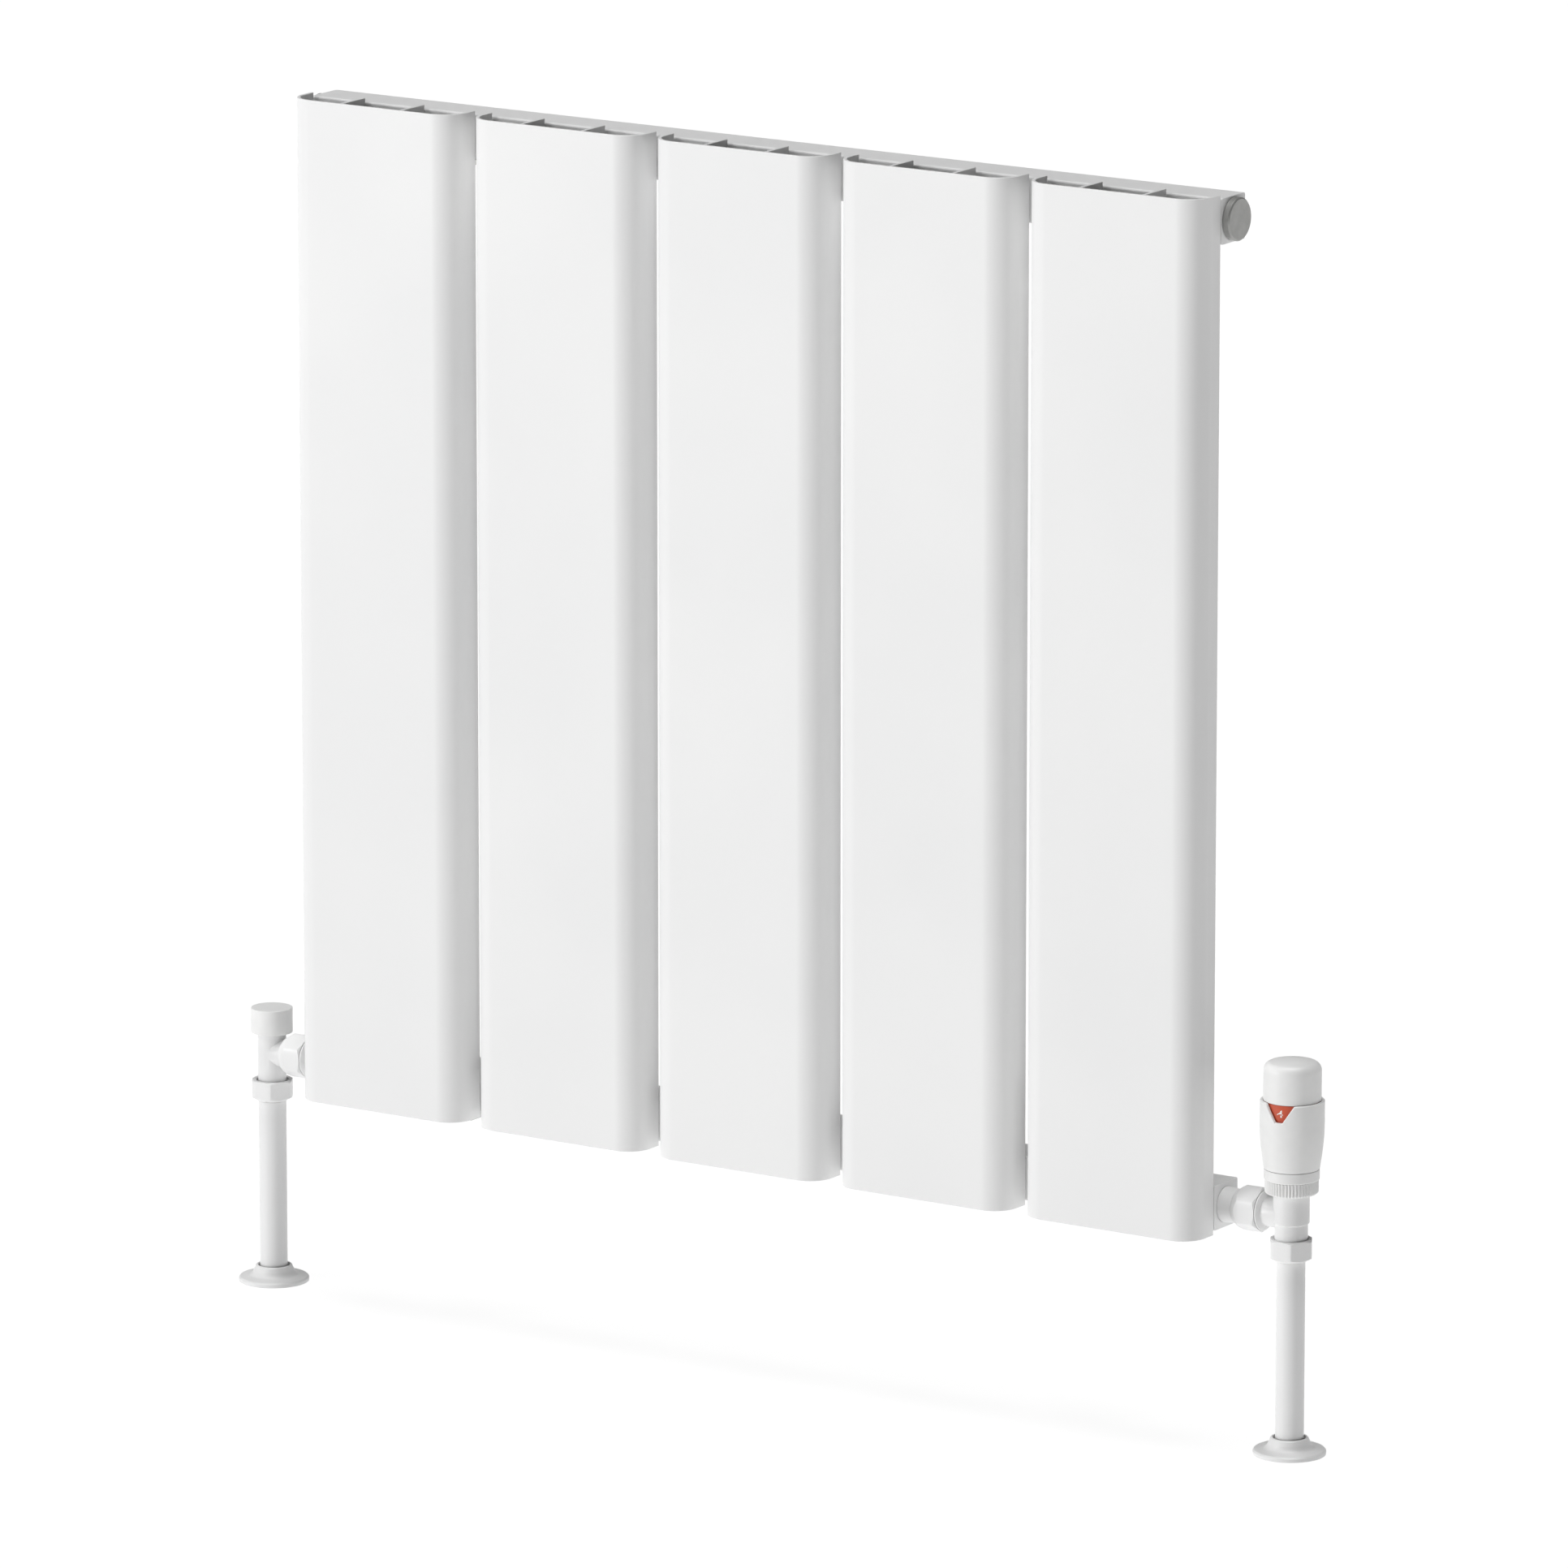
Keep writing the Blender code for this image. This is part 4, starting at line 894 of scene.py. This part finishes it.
def sleeve_radius(height, base):
    share = min(1.0, max(0.0, (height - base) / SLEEVE_RISE))
    return SLEEVE_FOOT + SLEEVE_FLARE * math.sin(share * math.pi / 2)


def make_sleeve(place):
    """Thin tapered sleeve with the reading window cut into its rim."""
    node = "trv_outer_sleeve"
    base, rim, wall = low(node).z, high(node).z, 1.7 * mm
    half_top, half_bottom, depth = 9.1 * mm, 2.3 * mm, 10 * mm
    corner, soft = 0.5 * mm, 0.4 * mm

    def edge(turn):
        """Height of the sleeve's upper edge at this angle."""
        away = (math.degrees(turn) - WINDOW_TURN + 180) % 360 - 180
        if abs(away) > 60:
            return rim
        across = abs((SLEEVE_FOOT + SLEEVE_FLARE) * math.sin(math.radians(away)))
        fall = (half_top - across) / (half_top - half_bottom) * depth
        fall = 0.5 * (fall + math.sqrt(fall * fall + soft * soft))
        return rim - min(depth, fall) if across < half_top + mm else rim

    def profile(turn):
        top = edge(turn)
        outside = [base + (top - base) * i / 12 for i in range(12)]
        outline = [(sleeve_radius(z, base), z) for z in outside]
        outline += [(sleeve_radius(top, base), top - corner), (sleeve_radius(top, base) - corner, top)]
        inside = [base + (top - base) * i / 4 for i in range(4, -1, -1)]
        outline += [(sleeve_radius(z, base) - wall, z) for z in inside]
        return rounded(outline, 0.2 * mm, 2)

    centre = math.radians(WINDOW_TURN)
    reach = math.radians(32)
    rest = 2 * math.pi - 2 * reach
    at_window, elsewhere = 180, 110
    turns = [centre - reach + 2 * reach * i / at_window for i in range(at_window)]
    turns += [centre + reach + rest * i / elsewhere for i in range(elsewhere)]
    mesh = turned(profile, turns)
    make_piece(node + "_shell", mesh, "plastic", "white_plastic", "radiator", node, place=place, crease=35)


def make_drum(place):
    node = "trv_number_drum"
    outer = 16.3 * mm
    outline = ring(15.7 * mm, outer, low(node).z, high(node).z)
    mesh = turned(rounded(outline, 0.12 * mm, 2), FINER)
    make_piece("number_drum_ring", mesh, "red", "red_plastic", "handwheel", node, place=place)
    for number in range(6):
        turn = math.radians(WINDOW_TURN + (4 - number) * DIGIT_STEP)
        digit = digit_mesh(str(number), DIGIT_HEIGHT, outer, turn, high(node).z - DIGIT_DROP)
        make_piece(f"dial_number_{number}", digit, "digit", "white_plastic", "handwheel", place=place)


def digit_mesh(text, height, radius, turn, z):
    """A printed numeral, bent round the drum. It stands 0.05 mm proud."""
    curve = bpy.data.curves.new("digit", "FONT")
    curve.body = text
    curve.size = height / FONT_SHARE
    curve.offset = 0.07 * mm
    curve.align_x = "CENTER"
    curve.align_y = "CENTER"
    curve.extrude = 0.05 * mm
    curve.resolution_u = 6
    helper = bpy.data.objects.new("digit_helper", curve)
    bpy.context.scene.collection.objects.link(helper)
    mesh = applied(helper)
    mesh.materials.clear()
    for vertex in mesh.vertices:
        x, y, lift = vertex.co
        around = turn + x * DIGIT_WIDEN / radius
        reach = radius + lift
        vertex.co = (reach * math.cos(around), reach * math.sin(around), z + y)
    return without_doubles(mesh)


def make_handwheel(place):
    node = "trv_handwheel"
    bottom, top = low(node).z, high(node).z
    rim = high("trv_outer_sleeve").z
    radius, skirt, guide_bore, wall, edge = 16.6 * mm, 15.4 * mm, 11.75 * mm, 1.6 * mm, 5 * mm
    crown_low = top - 1.2 * mm
    shoulder = crown_low - edge
    outline = [(skirt, bottom), (skirt, rim), (radius, rim)]
    outline += arc((radius - edge, shoulder), edge, 0, 84, 12)
    start = outline[-1]
    dome_steps = 8
    for i in range(1, dome_steps):
        share = i / dome_steps
        rise = (top - start[1]) * (1 - (1 - share) ** 2)
        outline.append((start[0] * (1 - share), start[1] + rise))
    inner_top = top - 2.4 * mm
    boss, boss_low = 4 * mm, rim + 17.2 * mm
    outline += [(0, top), (0, boss_low), (boss, boss_low), (boss, inner_top)]
    outline += [(skirt - wall - 3 * mm, inner_top), (skirt - wall, inner_top - 4 * mm)]
    outline += [(skirt - wall, bottom + wall), (guide_bore, bottom + wall), (guide_bore, bottom)]
    mesh = turned(rounded(outline, 0.3 * mm, 3), FINER)
    make_piece("trv_handwheel_cap", mesh, "plastic", "white_plastic", "handwheel", node, place=place)


# ---------------------------------------------------------------- lockshield valve
def make_lockshield():
    place = upright(LOCK)
    branch_place = sideways(LOCK.x, LOCK_BRANCH)
    make_foot("lockshield", high("lockshield_compression_nut").z, place)
    start = low("lockshield_union_nut").x - LOCK.x
    end = high("lockshield_union_nut").x - LOCK.x
    out = -HEADER_END - LOCK.x
    union_nut(
        "lockshield_union_nut",
        start=start,
        step=19.6 * mm,
        end=end,
        small_end=10.2 * mm,
        bore=8.7 * mm,
        place=branch_place,
    )
    tail = [
        (6 * mm, 22.3 * mm),
        (10.1 * mm, 22.3 * mm),
        (10.1 * mm, end),
        (11.6 * mm, end + 0.3 * mm),
        (11.6 * mm, end + mm),
        (9.2 * mm, end + 2.6 * mm),
        (9.2 * mm, out - GAP),
        (PORT_THREAD, out),
        (PORT_THREAD, out + PORT_DEPTH),
        (6 * mm, out + PORT_DEPTH),
    ]
    mesh = turned(rounded(tail, 0.3 * mm))
    node = "lockshield_tail"
    make_piece(node + "_turned", mesh, "fitting", "fitting_coat", "radiator", node, place=branch_place)
    make_lockshield_body(place, branch_place)
    make_lockshield_cap(place)
    make_lockshield_head(place)


def make_lockshield_body(place, branch_place):
    node = "lockshield_valve_body"
    bottom, top = low(node).z, high(node).z
    nut_top, cap = high("lockshield_compression_nut").z, low("lockshield_cap").z
    outline = [
        (0, bottom),
        (9.8 * mm, bottom),
        (9.8 * mm, nut_top - 2.2 * mm),
        (8.4 * mm, nut_top - 1.8 * mm),
        (8.4 * mm, cap + 1.2 * mm),
        (10.3 * mm, cap + 1.8 * mm),
        (10.3 * mm, top),
        (6.6 * mm, top),
        (6.6 * mm, top - 9 * mm),
        (0, top - 9 * mm),
    ]
    branch = [
        (0, 0),
        (8.3 * mm, 0),
        (8.3 * mm, 20 * mm),
        (9.9 * mm, 20 * mm),
        (9.9 * mm, 22 * mm),
        (0, 22 * mm),
    ]
    mesh = cast_body(rounded(outline, 0.3 * mm), rounded(branch, 0.3 * mm), place, branch_place)
    make_piece(node + "_cast", mesh, "fitting", "fitting_coat", "radiator", node, crease=30)


def make_lockshield_cap(place):
    node = "lockshield_cap"
    bottom, top, wall, radius = low(node).z, high(node).z, 1.6 * mm, 12.4 * mm
    outline = [
        (radius - wall, bottom),
        (radius, bottom),
        (radius, top),
        (0, top),
        (0, top - wall),
        (radius - wall, top - wall),
    ]
    mesh = turned(rounded(outline, 0.45 * mm, 5), FINER)
    make_piece(node + "_cover", mesh, "plastic", "white_plastic", node, node, place=place)


def make_lockshield_head(place):
    """What shows when the cap is off: gland, its ring, and the spindle with its square end."""
    node = "lockshield_gland"
    bottom, top = low(node).z, high(node).z
    shoulder = high("lockshield_valve_body").z + GAP
    flats = 15.2 * mm * math.cos(math.pi / 6)

    def profile(turn):
        reach = min(hex_radius(flats, turn), 7.5 * mm)
        outline = [
            (2.3 * mm, bottom),
            (6.3 * mm, bottom),
            (6.3 * mm, shoulder),
            (reach, shoulder),
            (reach, top),
            (4.1 * mm, top),
            (4.1 * mm, top - 2.4 * mm),
            (2.3 * mm, top - 2.4 * mm),
        ]
        return rounded(outline, 0.25 * mm, 3)

    make_piece(node + "_nut", turned(profile, hex_turns()), "brass", "brass", "radiator", node, place=place)
    node = "lockshield_gland_seal"
    outline = rounded(ring(2.35 * mm, 3.9 * mm, low(node).z, high(node).z), 0.6 * mm, 5)
    make_piece(node + "_ring", turned(outline), "rubber", "rubber", "radiator", node, place=place)
    node = "lockshield_spindle"
    end = high(node).z
    key = soft_edges(prism(square(1.5 * mm), end - 4 * mm, end, "Z"), 0.25 * mm)
    stem = turned(rounded(rod(2.2 * mm, low(node).z, end - 3 * mm), 0.3 * mm), 48)
    mesh = cut_from(stem, key, operation="UNION")
    make_piece(node + "_turned", mesh, "steel", "steel", "lockshield_spindle", node, place=place)


# ---------------------------------------------------------------- CAD nodes that stay
def finish_inner_nodes():
    """Hidden pieces keep their CAD shape and get the finish of their record slot."""
    finishes = {"steel": "steel", "brass": "brass", "copper": "copper", "rubber": "rubber"}
    for subpart in frame["record"]["subparts"]:
        node = frame["nodes"][subpart["node"]]
        if node.hide_render:
            continue
        finish = finishes.get(subpart["material_slot"], "fitting")
        node.data.materials.clear()
        node.data.materials.append(MATERIALS[finish])


# ---------------------------------------------------------------- floor, light and camera
def make_floor():
    """A pale matt studio floor. It gives off light, so that it is even and lights the object from below."""
    mesh = bpy.data.meshes.new("studio_floor")
    corners = [(x, y, 0) for x, y in square(40)]
    mesh.from_pydata(corners, [], [[0, 1, 2, 3]])
    nodes = Nodes("studio_floor_matt")
    nodes.colour(nodes.mix(nodes.noise(3, 2), (0.12, 0.12, 0.12), (0.14, 0.14, 0.14)))
    nodes.roughness(nodes.between(nodes.noise(40, 2), 0.85, 0.95))
    nodes.set(Emission_Color=(1, 1, 1, 1), Emission_Strength=0.92, Specular_IOR_Level=0.1)
    nodes.bumps((nodes.noise(60, 2), 0.02, 0.001))
    mesh.materials.append(nodes.material)
    floor = bpy.data.objects.new("studio_floor", mesh)
    floor.location.z = -0.0002
    bpy.context.scene.collection.objects.link(floor)


def make_sun(name, azimuth, elevation, strength, spread):
    """Parallel soft light from that azimuth, which is 0 for straight in front and positive to the right."""
    light = bpy.data.lights.new(name, "SUN")
    light.energy = strength
    light.angle = math.radians(spread)
    a, e = math.radians(azimuth), math.radians(elevation)
    made = bpy.data.objects.new(name, light)
    towards = Vector((math.sin(a) * math.cos(e), -math.cos(a) * math.cos(e), math.sin(e)))
    made.rotation_euler = towards.to_track_quat("Z", "Y").to_euler()
    bpy.context.scene.collection.objects.link(made)


def make_softbox(name, place, aim, size, power):
    """A square light of that size in metres and power in watts, turned towards the aim."""
    light = bpy.data.lights.new(name, "AREA")
    light.energy = power
    light.size = size
    made = bpy.data.objects.new(name, light)
    made.location = place
    made.rotation_euler = (Vector(place) - Vector(aim)).to_track_quat("Z", "Y").to_euler()
    bpy.context.scene.collection.objects.link(made)


def make_light():
    world = bpy.data.worlds.new("studio")
    world.use_nodes = True
    background = world.node_tree.nodes["Background"]
    background.inputs["Color"].default_value = (1, 1, 1, 1)
    background.inputs["Strength"].default_value = 0.02
    bpy.context.scene.world = world
    make_sun("key", azimuth=-38, elevation=5, strength=1.0, spread=10)
    make_sun("overhead", azimuth=0, elevation=88, strength=2.25, spread=30)
    make_softbox("upper_left", place=(-1.4, -1.8, 1.9), aim=(0, 0, 0.7), size=1.0, power=15)
    bpy.context.scene.view_settings.view_transform = "Standard"


CAMERA_AZIMUTH = 33.05
CAMERA_ELEVATION = 12.74
CAMERA_DISTANCE = 7.72
CAMERA_TARGET = (0.0172, -0.05, 0.3513)
CAMERA_LENS = 307.6


def make_camera():
    a, e = math.radians(CAMERA_AZIMUTH), math.radians(CAMERA_ELEVATION)
    back = Vector((math.sin(a) * math.cos(e), -math.cos(a) * math.cos(e), math.sin(e)))
    lens = bpy.data.cameras.new("camera")
    lens.lens = CAMERA_LENS
    lens.sensor_width = 36
    lens.clip_start = 0.1
    lens.clip_end = 200
    camera = bpy.data.objects.new("camera", lens)
    camera.location = Vector(CAMERA_TARGET) + back * CAMERA_DISTANCE
    camera.rotation_euler = back.to_track_quat("Z", "Y").to_euler()
    bpy.context.scene.collection.objects.link(camera)
    bpy.context.scene.camera = camera


make_panels()
make_headers()
make_welds()
make_plugs()
make_brackets()
make_trv()
make_lockshield()
finish_inner_nodes()
make_floor()
make_light()
make_camera()
